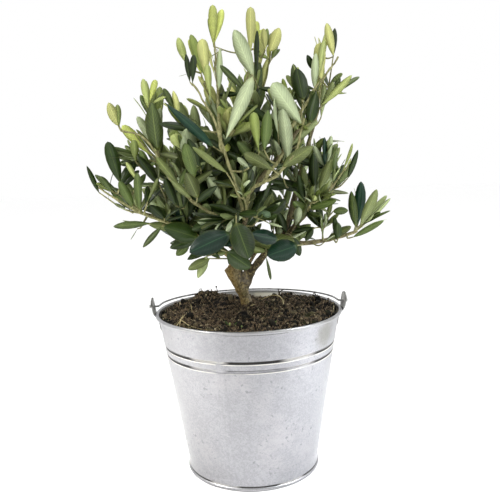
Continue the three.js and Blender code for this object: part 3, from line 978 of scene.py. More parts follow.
# trunk and boughs
forks = {  # each limb and those that it bears
    "trunk": ("leader", "right_limb"),
    "leader": (
        "leader_top", "centre", "right_upper", "left_inner",
        "left_mid", "left_low", "front", "back", "back_left",
    ),
    "right_limb": ("right_low", "right_mid", "back_right"),
    "right_mid": ("right_top",),
}
bark = {
    "voxel": 0.55 * mm,
    "sides": 14,
    "step": 1.6 * mm,  # between the points along a limb
    "knotSeed": 3,
    "fissures": 0.24 * mm,
    "fissureFineness": (420, 420, 130),
    "knots": 20,
    "knotSpread": (1.3, 3.0),  # in mm
    "knotHeight": (0.2 * mm, 0.7 * mm),
    "jointRing": 0.13,  # how much a limb swells at an old leaf joint
    "stub": (-16 * mm, 14 * mm, 177.6 * mm),  # where the old leader was sawn off
    "stubFrom": (-4 * mm, 18 * mm, 154 * mm),
    "stubRadius": 5.7 * mm,
    "fork": (1.5 * mm, 9 * mm, 177 * mm),  # middle of the painted shade between the limbs
    "slimStem": (  # beside the right limb, in mm
        (-3, 14, 168), (-1, 13, 175), (2.6, 11.5, 182.5), (6.7, 10, 189),
        (11.3, 8.5, 195), (18.3, 6, 202), (27.3, 4, 208),
    ),
    "slimRadius": 1.5 * mm,
    "crotch": ((-3, 15, 163), (-1, 14, 171.5), (1.5, 12.5, 181)),  # old wood that fills the fork, in mm
    "crotchRadius": 3.6 * mm,
    "rootAside": (3.0 * mm, 0, 0),  # the root runs on to the right
    "rootHeights": (146, 166),  # in mm, from where it does so fully to where it stops
    "rootThinner": 0.22,
    "limbAside": (-4.4 * mm, 0, 0),  # the right limb rises close to the trunk
    "limbHeights": (164, 174, 192, 214),  # in mm, where that begins, is full, and fades out
}
barkShades = {
    "hollow": (0.22, 0.19, 0.12),
    "ridge": (0.62, 0.56, 0.40),
    "greyPatch": (0.47, 0.45, 0.41),
    "moss": (0.38, 0.37, 0.20),
    "youngHollow": (0.35, 0.32, 0.22),
    "youngRidge": (0.58, 0.55, 0.40),
    "warmFlank": (0.60, 0.49, 0.25),
    "litGreyFlank": (0.56, 0.52, 0.45),
    "shadedLimb": (0.25, 0.21, 0.11),
    "fork": (0.24, 0.21, 0.12),
    "sawnEnd": (0.50, 0.41, 0.24),
    "crack": (0.17, 0.13, 0.065),
    "flake": (0.72, 0.64, 0.43),
    "bloom": (0.66, 0.60, 0.50),
}


def slices(corners, start, end, parts):  # middles and mean radii of a solid on planes across start-end
    axis = end - start
    length = np.linalg.norm(axis)
    axis = axis / length
    reach = (corners - start) @ axis
    middles, radii = [], []
    for part in parts:
        away = reach - part * length
        found = []
        for i, j in ((0, 1), (1, 2), (2, 0)):
            cut = away[:, i] * away[:, j] < 0
            share = (away[cut, i] / (away[cut, i] - away[cut, j]))[:, None]
            found.append(corners[cut, i] + share * (corners[cut, j] - corners[cut, i]))
        found = np.vstack(found)
        if len(found) > 2:
            middles.append(found.mean(axis=0))
            radii.append(np.linalg.norm(found - middles[-1], axis=1).mean())
    return np.array(middles), np.array(radii)


def nearest(path, spot):
    return int(np.argmin(np.linalg.norm(path - spot, axis=1)))


def lengthOf(path):
    return float(np.linalg.norm(np.diff(path, axis=0), axis=1).sum())


def readLimb(node):
    corners = cornersOf(node)
    spots = corners.reshape(-1, 3)
    one = spots[np.argmax(np.linalg.norm(spots - spots.mean(axis=0), axis=1))]
    other = spots[np.argmax(np.linalg.norm(spots - one, axis=1))]
    middles, radii = slices(corners, one, other, np.linspace(0.03, 0.97, 9))
    thickEndLast = radii[:3].mean() < radii[-3:].mean()
    if (node == "trunk" and middles[0][2] > middles[-1][2]) or (node != "trunk" and thickEndLast):
        middles, radii = middles[::-1], radii[::-1]
    return middles, radii


limbs = {}
parents = {child: parent for parent, children in forks.items() for child in children}
for name in ["trunk", *parents]:
    middles, radii = readLimb("trunk" if name == "trunk" else "bough_" + name)
    if name in parents:  # it starts inside the limb that bears it
        bearer = limbs[parents[name]][0]
        middles = np.vstack([bearer[nearest(bearer, middles[0])], middles])
        radii = np.concatenate([[radii[0]], radii])
    count = max(int(lengthOf(middles) / bark["step"]), 12)
    path = smoothed(middles, count)
    girth = np.interp(np.linspace(0, 1, count), np.linspace(0, 1, len(radii)), radii)
    limbs[name] = (path, girth)


def tube(path, radii, sides):
    corners, faces = [], []
    side = np.cross(path[1] - path[0], (0.3, 0.9, 0.2))
    for i, (spot, radius) in enumerate(zip(path, radii)):
        along = path[min(i + 1, len(path) - 1)] - path[max(i - 1, 0)]
        along = along / np.linalg.norm(along)
        side = side - along * (side @ along)
        side = side / np.linalg.norm(side)
        other = np.cross(along, side)
        for turn in np.arange(sides) * 2 * math.pi / sides:
            corners.append(spot + radius * (math.cos(turn) * side + math.sin(turn) * other))
    for i in range(len(path) - 1):
        for j in range(sides):
            k = (j + 1) % sides
            faces.append((i * sides + j, i * sides + k, (i + 1) * sides + k, (i + 1) * sides + j))
    last = (len(path) - 1) * sides
    faces.append(tuple(reversed(range(sides))))
    faces.append(tuple(last + j for j in range(sides)))
    return corners, faces


def settle(name, path, radii):  # shifts the root and the right limb
    height = path[:, 2] / mm
    if name == "trunk":
        low = np.interp(height, bark["rootHeights"], (1, 0))
        return path + np.outer(low, bark["rootAside"]), radii * (1 - bark["rootThinner"] * low)
    if name == "right_limb":
        low = np.interp(height, bark["limbHeights"], (0, 1, 1, 0))
        return path + np.outer(low, bark["limbAside"]), radii
    return path, radii


def barkTubes(dice):  # path, radii and sides of every limb, then of the stub and the wood about the fork
    tubes = []
    for name, (path, girth) in limbs.items():
        path, radii = settle(name, path, girth)
        steps = np.arange(len(path))
        for joint in range(4 + dice.randrange(3), len(path) - 2, 8):
            radii = radii * (1 + bark["jointRing"] * np.exp(-((steps - joint) / 1.3) ** 2))
        if name == "trunk":  # down into the peat and up into the fork
            below, above = (path[0] - path[1]) * 3, (path[-1] - path[-2]) * 0.7
            path = np.vstack([path[0] + below, path, path[-1] + above])
            radii = np.concatenate([[radii[0] * 1.18], radii, [radii[-1] * 1.08]])
        else:
            path = np.vstack([path, path[-1] + (path[-1] - path[-2])])
            radii = np.concatenate([radii, [radii[-1] * 0.5]])
        tubes.append((path, radii, bark["sides"]))
    start, end = np.array(bark["stubFrom"]), np.array(bark["stub"])
    slim, crotch = (np.array(bark[key]) * mm for key in ("slimStem", "crotch"))
    extras = [
        (smoothed([start, (start + end) / 2, end], 10), [bark["stubRadius"]] * 10),
        (smoothed(slim, 20), np.linspace(1.2, 0.8, 20) * bark["slimRadius"]),
        (smoothed(crotch, 12), np.linspace(1.1, 0.7, 12) * bark["crotchRadius"]),
    ]
    return tubes + [(path, radii, bark["sides"] * 2) for path, radii in extras]


def barkKnots(dice):  # place, spread and height of bumps on the trunk
    path, girth = limbs["trunk"]
    knots = []
    for _ in range(bark["knots"]):
        i = dice.randrange(len(path))
        turn = dice.uniform(0, 2 * math.pi)
        aside = Vector((math.cos(turn), math.sin(turn), dice.uniform(-0.3, 0.3))) * float(girth[i])
        spread = dice.uniform(*bark["knotSpread"]) * mm
        knots.append((Vector(path[i]) + aside, spread, dice.uniform(*bark["knotHeight"])))
    return knots


def addBark():
    dice = random.Random(bark["knotSeed"])
    corners, faces = [], []
    for tubeShape in barkTubes(dice):
        tubeCorners, tubeFaces = tube(*tubeShape)
        faces += [tuple(len(corners) + i for i in face) for face in tubeFaces]
        corners += tubeCorners
    knots = barkKnots(dice)
    piece = meshOf("barkLimbs", corners, faces)
    remesh = piece.modifiers.new("join", "REMESH")
    remesh.mode = "VOXEL"
    remesh.voxel_size = bark["voxel"]
    soften = piece.modifiers.new("soften", "SMOOTH")
    soften.factor = 0.5
    soften.iterations = 3
    shape = plainMesh(piece)
    piece.modifiers.clear()
    piece.data = shape
    shape.name = "barkLimbs"
    trunkTop = limbs["trunk"][0][-1][2]
    fineX, fineY, fineZ = bark["fissureFineness"]
    moved = []
    for spot, normal in [(corner.co.copy(), corner.normal.copy()) for corner in shape.vertices]:
        coarse = min(max((trunkTop + 0.02 - spot.z) / 0.03, 0.18), 1)  # young limbs are smoother
        ridges = noise.fractal(Vector((spot.x * fineX, spot.y * fineY, spot.z * fineZ)), 0.9, 2.0, 3)
        push = bark["fissures"] * coarse * ridges
        if spot.z < trunkTop + 0.01:
            for centre, spread, height in knots:
                away = (spot - centre).length_squared / (spread * spread)
                if away < 5:
                    push += height * math.exp(-away)
        moved.extend(spot + normal * push)
    shape.vertices.foreach_set("co", moved)
    shape.polygons.foreach_set("use_smooth", [True] * len(shape.polygons))
    return piece


def barkFinish():
    wood = Finish("oliveBark", Roughness=0.85)
    tint = {name: linear(shade) for name, shade in barkShades.items()}
    x, _, height = wood.split(wood.place)
    streaks = wood.noise(1.0, 5, 0.65, place=wood.stretched(380, 380, 130))
    patches = wood.noise(95, 3, 0.55)
    fine = wood.noise(900, 3, 0.6)
    grain = wood.noise(1.0, 3, 0.6, place=wood.stretched(560, 560, 420))
    # darker in the hollows of the streaks that also make the bump: the bark's own colour with painted shade
    # in the fissures
    low = wood.blend(streaks.ramp(0.35, 0.66), tint["hollow"], tint["ridge"])
    low = wood.blend(patches.ramp(0.5, 0.64) * 0.6, low, tint["greyPatch"])
    low = wood.blend(wood.noise(60, 2).ramp(0.54, 0.66) * 0.5, low, tint["moss"])
    high = wood.blend(streaks.ramp(0.35, 0.65), tint["youngHollow"], tint["youngRidge"])
    # the left flank of the leaning trunk is warmer, the right flank painted lighter and greyer where light
    # falls on it, and the limb beyond it darker with painted shade
    aside = x + (height - 140 * mm) * 0.27 + (streaks - 0.5) * (9 * mm)
    low = wood.blend(aside.ramp(-1 * mm, -6 * mm) * 0.65, low, tint["warmFlank"])
    low = wood.blend(aside.ramp(0 * mm, 4 * mm) * 0.45, low, tint["litGreyFlank"])
    low = wood.blend(aside.ramp(7 * mm, 11 * mm) * 0.8, low, tint["shadedLimb"])
    # painted shade in the fork between the limbs
    low = wood.blend(wood.away(bark["fork"]).ramp(7 * mm, 4.5 * mm) * 0.75, low, tint["fork"])
    low = wood.blend(wood.away(bark["stub"]).ramp(6.5 * mm, 4 * mm) * 0.7, low, tint["sawnEnd"])
    young = wood.maths("MAXIMUM", height.ramp(0.20, 0.27), wood.maths("ABSOLUTE", x).ramp(38 * mm, 66 * mm))
    low = wood.blend(grain.ramp(0.48, 0.34) * 0.6, low, tint["crack"])
    low = wood.blend(grain.ramp(0.52, 0.66) * 0.6, low, tint["flake"])
    shade = wood.blend(young, low, high)
    shade = wood.blend(fine.ramp(0.6, 0.75) * 0.4, shade, tint["bloom"])
    wood.feed(Base_Color=shade, Roughness=0.75 + fine * 0.2)
    wood.bump(streaks * 0.6 + fine * 0.4, 0.7, 0.6 * mm)
    return wood.material


barkLimbs = addBark()
barkLimbs.data.materials.append(barkFinish())
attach(barkLimbs, "planter")
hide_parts("trunk", *["bough_" + name for name in parents])
print("bark grown:", len(barkLimbs.data.polygons), "faces")


# shoots and leaves
shoot = {
    "seed": 14,
    "pairGap": 11 * mm,
    "firstPair": 3 * mm,
    "lastGap": 1.5 * mm,  # left free at the end of a shoot
    "wideAbove": 300 * mm,  # from here the pairs stand wider apart, fully so within the next stretch
    "wideWithin": 50 * mm,
    "step": 2.6 * mm,  # between the points of a shoot
    "wander": 0.35 * mm,
    "twigRadius": 1.15 * mm,
    "tipRadius": 0.42 * mm,
    "spread": (50, 22),  # angle of a leaf from its shoot, at the foot and near the tip
    "turn": 2.4,  # from one side shoot to the next, in radians
    "crownLeaf": 33 * mm,  # the upright pair that ends a shoot
    "endPairs": ((17, 1.0), (11, 0.5)),  # lean and share of that length for the last two pairs
    "sideFrom": 11.5 * mm,  # half width of a mass from which it gets side shoots
    "sideEvery": 2.8 * mm,  # more half width for each side shoot more
    "fewerAbove": 340 * mm,  # a mass this high has one side shoot less
    "rise": 0.28,  # how strongly leaves turn upwards
    "slack": 5 * mm,  # how far a leaf may pass the outline of its mass
    "skirt": 200 * mm,  # no leaf hangs lower, bar the specimens
    "dip": 11 * mm,  # how much lower the skirt is in the middle
    "dipWidth": 40 * mm,
}
leaf = {
    "length": (27 * mm, 44 * mm),
    "lesser": (16 * mm, 27 * mm),  # on the twigs of the specimens
    "slender": (0.115, 0.165),  # half width over length
    "broad": 0.2,  # from here on a leaf is oval
    "stalk": 0.09,  # width of its stalk over its own
    "listed": 0.56,  # half width over the width listed for a specimen, which is cupped
    "thickness": 0.16 * mm,
    "strap": 48 * mm,  # longer leaves are straps that taper to the tip
    "glossy": 0.33,  # roughness of old leaves and of the rest
    "satin": 0.42,
    "sparseAbove": 308 * mm,  # the top of the crown is thinner
    "narrowBeyond": 30 * mm,  # and its low right side has narrower leaves
    "narrowBelow": 300 * mm,
    "peatBelow": 160 * mm,  # specimens that stand lower are seedlings and fallen leaves
}
shading = {  # how a spray's shade follows its place, as a number in shadeOrder
    "least": 0.9,
    "byHeight": 3.6,  # paler towards the top of the crown
    "outward": 0.8,  # and towards its outer tips
    "middle": 2.6,  # darkest low in the middle, as painted shade where the crown shades itself
    "scatter": 0.8,
    "inner": 0.7,  # shoots inside the crown are darker, as painted shade
    "foot": 190 * mm,  # where the crown begins
    "rise": 210 * mm,
    "radius": 125 * mm,
}
innerShoots = {
    "gap": 10 * mm,
    "length": (14 * mm, 34 * mm),
    "crownLeaf": 28 * mm,
    "from": {"leader": 0.2, "right_limb": 0.8, "right_low": 0.1, "left_low": 0.2},
    "to": {"right_low": 0.5, "left_low": 0.75},
    "closerLeft": 0.7,
}
keepClear = {  # room that the other leaves leave free about the specimens and stems
    "leafShare": 0.42,  # of a specimen's width, to either side
    "stem": 1.0 * mm,
    "behind": 2.5 * mm,  # a leaf this far behind is no hindrance
}
stemShape = {"points": 60, "foot": 1.55 * mm, "tip": 0.7 * mm, "wander": 0.2 * mm, "jointRing": 0.3}
shades = {  # upper face, underside and midrib
    "Young": ((0.74, 0.78, 0.42), (0.79, 0.80, 0.51), (0.80, 0.80, 0.57)),
    "Fresh": ((0.485, 0.54, 0.285), (0.69, 0.735, 0.455), (0.69, 0.735, 0.415)),
    "Mid": ((0.315, 0.38, 0.185), (0.61, 0.66, 0.45), (0.565, 0.61, 0.345)),
    "Olive": ((0.395, 0.435, 0.245), (0.69, 0.74, 0.58), (0.63, 0.665, 0.40)),
    "Dark": ((0.155, 0.22, 0.078), (0.44, 0.495, 0.30), (0.40, 0.465, 0.22)),
    "Teal": ((0.042, 0.185, 0.118), (0.355, 0.44, 0.33), (0.27, 0.38, 0.245)),
}
shadeOrder = ["Teal", "Dark", "Olive", "Mid", "Fresh", "Young"]
leafLists = {name: [] for name in shades}
core = np.array((0.0, 0.0, 270 * mm))  # middle of the crown
twigPaths = []

# single leaves that give the crown its character:
# foot and tip in mm, width in mm, shade, and the face that is turned forward
specimens = {
    "greyBroad": ((47, -46, 299), (23, -52, 331), 13, "Olive", "under"),
    "greyBelow": ((35, -50, 272), (33, -54, 312), 10, "Olive", "under"),
    "greyLong": ((10, -40, 338), (-4, -36, 375), 12, "Olive", "under"),
    "greyStrap": ((9, -52, 337), (-13, -70, 287), 11, "Olive", "under"),
    "darkRight": ((53, -52, 300), (58, -48, 324), 9, "Dark", "upper"),
    "darkRightUp": ((49, -40, 319), (44, -44, 343), 11, "Dark", "upper"),
    "darkLeft": ((-68, -44, 283), (-71, -50, 320), 14, "Mid", "upper"),
    "darkDiagonal": ((-23, -64, 284), (-61, -54, 321), 7, "Teal", "upper"),
    "darkBand": ((-32, -56, 297), (-64, -58, 303), 6, "Dark", "upper"),
    "leftBlade": ((-99, -46, 259), (-106, -50, 291), 9.5, "Dark", "upper"),
    "leftMiddle": ((-38, -66, 261), (-44, -70, 287), 9, "Mid", "upper"),
    "leftMiddleLow": ((-36, -72, 246), (-43, -76, 265), 11, "Olive", "upper"),
    "acrossMiddle": ((22, -72, 265), (0, -70, 278), 8, "Olive", "upper"),
    "acrossRight": ((30, -62, 267), (54, -58, 283), 9, "Olive", "upper"),
    "bandLeft": ((-13, -76, 264), (-38, -74, 284), 5, "Olive", "upper"),
    "broadHanging": ((-7, -92, 227.5), (1.5, -97, 201.5), 16.5, "Dark", "upper"),
    "broadTeal": ((-12, -84, 219), (-42, -94, 208), 16, "Teal", "upper"),
    "broadLeft": ((-38, -60, 214), (-63, -68, 224), 16, "Dark", "upper"),
    "broadUnder": ((-15, -74, 204), (2, -84, 193), 13, "Dark", "upper"),
    "broadRight": ((40, -58, 205), (16, -66, 199), 16, "Teal", "upper"),
    "tealMiddle": ((24, -74, 212), (4, -84, 218), 11, "Teal", "upper"),
    "rightLower": ((92, -14, 205), (117, -20, 219), 5, "Mid", "upper"),
    "broadLeftUnder": ((-40, -56, 213), (-60, -62, 207), 9, "Dark", "upper"),
    "leftTuft": ((-46, -52, 209), (-56, -56, 200), 7, "Mid", "upper"),
    "rightTeal": ((97, -8, 215), (100, -14, 252), 9, "Teal", "upper"),
    "rightFirst": ((94, -14, 214), (88, -20, 244), 8, "Mid", "upper"),
    "rightSecond": ((98, -14, 215), (112, -20, 245), 10, "Olive", "upper"),
    "lowStray": ((-76, -52, 226), (-104, -58, 225), 6, "Mid", "upper"),
    "lowStrayThin": ((-67, -50, 223), (-82, -58, 208), 5, "Mid", "upper"),
    "lowHanging": ((-32, -52, 198), (-40, -56, 181), 7, "Mid", "under"),
    "lowHangingLeft": ((-30, -52, 196), (-47, -58, 189), 7, "Olive", "upper"),
    "thinHanging": ((15.5, -40, 195), (19.5, -42, 175), 2.6, "Mid", "upper"),
    "topLeft": ((-22, -6, 369), (-21, -10, 401), 7, "Young", "upper"),
    "topRight": ((-21, -6, 371), (-14, -8, 398), 7, "Young", "upper"),
    "topBehind": ((-22, -2, 369), (-24, -2, 393), 4, "Fresh", "upper"),
    "centreTip": ((8, -14, 357), (11, -18, 396), 7.5, "Young", "under"),
    "centreTipDark": ((13, -8, 341), (14, -10, 380), 4, "Dark", "upper"),
    "smallPale": ((21, -10, 363), (20, -14, 380), 5, "Young", "under"),
    "smallPaleDark": ((21, -10, 363), (23, -10, 381), 4, "Fresh", "upper"),
    "paleTop": ((25, -10, 362), (33, -14, 380), 9, "Young", "under"),
    "rightTip": ((80, 6, 359), (74, 2, 386), 7, "Young", "under"),
    "rightTipDark": ((80, 8, 359), (81, 6, 383), 5, "Dark", "upper"),
    "rightPale": ((66, 0, 340), (70, -6, 371), 9, "Fresh", "under"),
    "rightSilver": ((62, -4, 332), (63, -8, 360), 7, "Olive", "under"),
    "rightSpread": ((67, -8, 317), (94, -6, 340), 8, "Fresh", "under"),
    "rightDarkSmall": ((62, -2, 347), (56, -6, 359), 5, "Dark", "upper"),
    "leftPlume": ((-43, -30, 351), (-49, -34, 371), 7, "Fresh", "under"),
    "leftFoldOuter": ((-40, -44, 335), (-42, -48, 356), 4, "Dark", "upper"),
    "leftFoldInner": ((-38, -44, 334), (-36, -48, 355), 5, "Dark", "upper"),
    "leftFan": ((-28, -26, 339), (-39, -30, 374), 7, "Fresh", "upper"),
    "leftFanBroad": ((-27, -30, 338), (-30, -36, 369), 11, "Young", "under"),
    "narrowSilver": ((-18, -28, 330), (-16, -30, 363), 5, "Olive", "under"),
    "slanting": ((4, -34, 327), (-16, -38, 348), 5, "Mid", "upper"),
    "farLeftPale": ((-100, -34, 304), (-107, -36, 322), 8, "Young", "under"),
    "farLeftDark": ((-99, -34, 303), (-100, -34, 321), 5, "Fresh", "upper"),
    "leftSilver": ((-74, -40, 317), (-77, -42, 339), 6, "Fresh", "under"),
    "leftYoung": ((-73, -40, 321), (-67, -42, 338), 5, "Young", "upper"),
    "leftRound": ((-51, -42, 311), (-52, -46, 329), 7, "Young", "under"),
    "leftFresh": ((-86, -44, 275), (-86, -46, 292), 6, "Fresh", "upper"),
    "leftLow": ((-84, -50, 237), (-84, -54, 266), 7, "Mid", "upper"),
    "leftHook": ((-119, -34, 251), (-127, -36, 273), 4, "Dark", "upper"),
    "rightTealShort": ((68, -16, 266), (69, -20, 290), 6, "Teal", "upper"),
    "rightMid": ((62, -26, 247), (72, -30, 272), 7, "Olive", "upper"),
    "rightShade": ((58, -24, 249), (57, -28, 278), 8, "Dark", "upper"),
    "rightBlade": ((89, -6, 255), (98, -8, 279), 5, "Dark", "upper"),
    "centrePair": ((12, -64, 279), (7, -70, 308), 8, "Fresh", "upper"),
    "centrePairRight": ((16, -62, 280), (20, -68, 310), 9, "Mid", "upper"),
    "rightLowSmall": ((74, -20, 228), (86, -24, 229), 6, "Mid", "upper"),
    "rightDarkLow": ((78, -20, 205), (77, -22, 219), 7, "Dark", "upper"),
    "seedlingLeft": ((-16, -57, 141), (-19, -58, 146), 1.8, "Dark", "upper"),
    "seedlingLeftPair": ((-16, -57, 141), (-14.8, -59, 145.5), 1.8, "Fresh", "under"),
    "witheredLeaf": ((-14, -60, 140), (-7, -57, 145.5), 3.6, "Dark", "upper"),
    "witheredCurl": ((-7, -57, 145), (-5.5, -62, 139), 1.4, "Dark", "under"),
    "seedlingRight": ((19, -52, 140), (22, -54, 143.5), 1.8, "Mid", "upper"),
    "leftFolded": ((-67, -50, 255), (-82, -52, 281), 10, "Dark", "upper"),
    "leftOlive": ((-51, -54, 255), (-68, -58, 277), 6, "Fresh", "upper"),
    "leftOliveLow": ((-42, -58, 245), (-57, -62, 260), 6, "Olive", "upper"),
    "leftBlock": ((-89, -50, 240), (-98, -54, 260), 7, "Mid", "upper"),
    "leftThin": ((-85, -46, 259), (-92, -50, 275), 4, "Fresh", "under"),
    "leftShort": ((-106, -44, 252), (-115, -46, 264), 5, "Mid", "upper"),
    "leftSliver": ((-77, -52, 243), (-67, -56, 261), 3, "Olive", "upper"),
    "leftUnder": ((-65, -48, 229), (-76, -50, 240), 7, "Dark", "upper"),
    "leftDarkInner": ((-55, -50, 239), (-62, -54, 261), 7, "Dark", "upper"),
    "leftPointed": ((-74, -44, 261), (-81, -46, 284), 6, "Mid", "upper"),
    "innerLeft": ((-34, -54, 268), (-42, -58, 291), 7, "Dark", "upper"),
    "innerRight": ((31, -44, 258), (38, -48, 280), 6, "Dark", "upper"),
    "centreSilver": ((4, -66, 267), (-5, -68, 275), 4, "Olive", "under"),
    "fanFoot": ((-25, -30, 322), (-27, -32, 350), 6, "Fresh", "under"),
    "leftArch": ((-54, -42, 316), (-61, -44, 331), 5, "Mid", "upper"),
    "rightHanging": ((39, -30, 208), (44, -34, 193), 7, "Dark", "upper"),
    "rightInside": ((57, -18, 214), (50, -22, 204), 5, "Dark", "upper"),
}
stems = {  # shoots that show from the front, as points in mm
    "frontStem": (
        (-5, -10, 210), (-2, -30, 229), (-6, -46, 245), (-11, -60, 264), (-16, -64, 281),
        (-23, -58, 303), (-29, -52, 316), (-35, -46, 328), (-39, -44, 334),
    ),
    "rightStem": (
        (-1, -28, 227), (6, -50, 248), (14, -60, 255), (24, -62, 260),
        (34, -62, 269), (42, -58, 281), (47, -54, 296), (50, -52, 305),
    ),
    "leftStem": (
        (-8, -12, 219), (-27, -36, 231), (-41, -50, 243), (-58, -54, 262),
        (-66, -50, 275), (-73, -46, 289), (-83, -40, 298), (-99, -34, 302),
    ),
    "rightInner": ((14, -60, 255), (22, -50, 265), (32, -40, 280), (39, -30, 298)),
    "topStem": ((-16, -64, 281), (-18, -44, 299), (-20, -26, 322), (-21, -14, 344), (-22, -6, 369)),
    "centreStem": ((-12, -40, 290), (-4, -26, 315), (4, -18, 338), (9, -14, 358)),
    "rightTopStem": ((39, -30, 298), (52, -16, 318), (66, -4, 340), (80, 6, 359)),
    "lowLeftStem": (
        (-16, -14, 211), (-40, -34, 218), (-66, -46, 226),
        (-86, -50, 234), (-102, -46, 243), (-120, -36, 253),
    ),
}

openings = [  # gaps where the sky shows, as seen from the front: across, height and radius in mm
    (87, 311, 3.5),
    (75, 306, 3.5),
    (67, 304, 2.6),
    (64, 295, 2.2),
    (35, 358, 2.6),
    (32, 347, 2.6),
    (-98, 322, 3.5),
    (-95, 310, 3.5),
    (-45, 322, 3.5),
    (-48, 333, 2),
    (-65, 291, 3.5),
    (-128, 239, 2.6),
    (-120, 236, 2.6),
    (-110, 233, 2.6),
    (-114, 209, 3.5),
    (-104, 214, 3.5),
    (-92, 207, 3.5),
    (21, 212, 3.5),
    (52, 217, 1.5),
    (45, 239, 1.8),
    (89, 217, 2.6),
    (95, 249, 2.6),
    (102, 256, 2.6),
    (108, 237, 1.8),
    (-6, 353, 2.2),
    (-14, 338, 2.2),
    (55, 341, 2.2),
]


def unit(vector):
    return vector / max(np.linalg.norm(vector), 1e-9)


def frontView(spots):  # across, height and nearness as seen from the front
    spots = np.atleast_2d(spots)
    depth = spots[:, 1] - view["place"][1]
    scale = -view["place"][1] / depth
    return np.column_stack([spots[:, 0] * scale, (spots[:, 2] - view["place"][2]) * scale, spots[:, 1]])


def shownLines():  # sample spots on every specimen and stem, with the room each needs
    spots = []
    for foot, tip, width, _, _ in specimens.values():
        for t in np.linspace(0.15, 0.95, 6):
            spot = np.array(foot) * mm * (1 - t) + np.array(tip) * mm * t
            room = width * keepClear["leafShare"] * min(4 * t * (1 - t) + 0.3, 1)
            spots.append((*frontView(spot)[0], room * mm))
    for points in stems.values():
        path = smoothed(np.array(points) * mm, 30)[6:]
        spots += [(*frontView(spot)[0], keepClear["stem"]) for spot in path]
    return np.array(spots)


leafParts = np.array(((0.2, 0.6), (0.4, 0.9), (0.6, 0.9), (0.8, 0.6), (1.0, 0.1)))  # along a leaf, half width
shown = shownLines()
clearings = np.array(openings) * mm
clearings[:, 1] -= view["place"][2]


def nearby(base, along, length, width, targets, rooms):  # where a leaf passes targets in the front view
    spots = frontView(base + along * length * leafParts[:, :1])
    gaps = np.hypot(spots[:, None, 0] - targets[None, :, 0], spots[:, None, 1] - targets[None, :, 1])
    return spots, gaps < rooms[None, :] + width * leafParts[:, 1:]


def hides(base, along, length, width):  # whether a leaf would grow in front of a specimen or stem
    spots, near = nearby(base, along, length, width, shown, shown[:, 3])
    inFront = spots[:, None, 2] < shown[None, :, 2] + keepClear["behind"]
    return bool((near & inFront).sum() > 1)


def closes(base, along, length, width):  # whether it would close one of the openings
    return bool(nearby(base, along, length, width, clearings, clearings[:, 2])[1].any())


def addLeaf(dice, shade, base, along, face, length, width, curl=None, shy=True):
    along = unit(along)
    tip = base + along * length
    skirt = shoot["skirt"] - shoot["dip"] * math.exp(-(tip[0] / shoot["dipWidth"]) ** 2)
    if shy and (hides(base, along, length, width) or tip[2] < skirt):
        return
    face = unit(face - along * (face @ along))
    if shade in ("Young", "Fresh"):  # young leaves are widest beyond the middle
        foot, blunt = dice.uniform(0.95, 1.3), dice.uniform(0.42, 0.65)
    else:
        foot, blunt = dice.uniform(0.7, 1.05), dice.uniform(0.5, 0.8)
    if width > leaf["broad"] * length:
        foot, blunt = 0.68, 0.7
    if length > leaf["strap"]:
        foot, blunt = 0.7, 1.15
    wave = dice.uniform(0.0, 0.03) if shy else 0.0
    full = (foot / (foot + blunt)) ** foot * (blunt / (foot + blunt)) ** blunt
    curl = dice.gauss(0.16, 0.2) if curl is None else curl
    row = (
        base, along, face,
        (length, width, leaf["thickness"]),
        (curl, dice.uniform(0.05, 0.28), dice.gauss(0, 0.35)),
        (foot, blunt, 1 / full),
        (dice.uniform(0, 6.3), wave, 0.0),
    )
    if not (shy and closes(base, along, length, width)):
        leafLists[shade].append(row)


class Mass:  # a foliage mass, with a spine from its bough to its tip
    def __init__(self, node):
        corners = cornersOf(node)
        self.surface = surfaceOf(corners)
        name = node[len("leaves_"):]
        path = limbs[max((limb for limb in limbs if name.startswith(limb)), key=len)][0]
        spots = corners.reshape(-1, 3)
        gaps = np.linalg.norm(path[:, None] - spots[None], axis=2).min(axis=1)
        self.foot = path[int(np.argmin(gaps + np.linspace(0, 0.0004, len(gaps))[::-1]))]
        self.tip = spots[np.argmax(np.linalg.norm(spots - self.foot, axis=1))]
        middles, radii = slices(corners, self.foot, self.tip, (0.2, 0.35, 0.5, 0.65, 0.8))
        self.path = smoothed(np.vstack([self.foot, middles[1:-1], self.tip]), 40)
        self.length = lengthOf(self.path)
        self.width = float(radii.max())

    def room(self, spot, along):  # how far the mass reaches from a spot in a direction
        outside = 0.2
        far = Vector(spot + along * outside)
        found, _, _, away = self.surface.ray_cast(far, Vector(-along), outside)
        return outside - away if found else 0.0


def dealShade(dice, tip, innerShade=0.0):
    height = (tip[2] - shading["foot"]) / shading["rise"]
    outer = math.hypot(tip[0], tip[1]) / shading["radius"]
    # low in the middle the crown is in its own shade, painted as darker leaves
    middle = math.exp(-((tip[0] + 0.005) / 0.055) ** 2 - (max(tip[2] - 0.2, 0) / 0.08) ** 2)
    level = shading["least"] + shading["byHeight"] * max(height, 0) ** 1.3 + shading["outward"] * outer
    level = level + dice.gauss(0, shading["scatter"]) - innerShade - shading["middle"] * middle
    return shadeOrder[int(min(max(round(level), 0 if dice.random() < 0.15 else 1), 5))]


def nextShade(shade, steps=1):  # paler, or darker where the steps are below 0
    return shadeOrder[min(max(shadeOrder.index(shade) + steps, 1), 5)]


def twigFinish():
    skin = Finish("greenTwig", Roughness=0.7)
    streaks = skin.noise(1.0, 4, 0.6, place=skin.stretched(500, 500, 160))
    spots = skin.noise(1600, 2)
    shade = skin.blend(streaks.ramp(0.35, 0.65), linear((0.43, 0.42, 0.25)), linear((0.62, 0.61, 0.42)))
    shade = skin.blend(spots.ramp(0.62, 0.7) * 0.5, shade, linear((0.34, 0.28, 0.18)))
    skin.feed(Base_Color=shade)
    skin.bump(streaks, 0.3, 0.2 * mm)
    return skin.material


def outward(axis, turn):  # square to an axis, at an angle around it
    side = unit(np.cross(axis, up + 0.01))
    return math.cos(turn) * side + math.sin(turn) * np.cross(axis, side)


def leafCount():
    return sum(map(len, leafLists.values()))


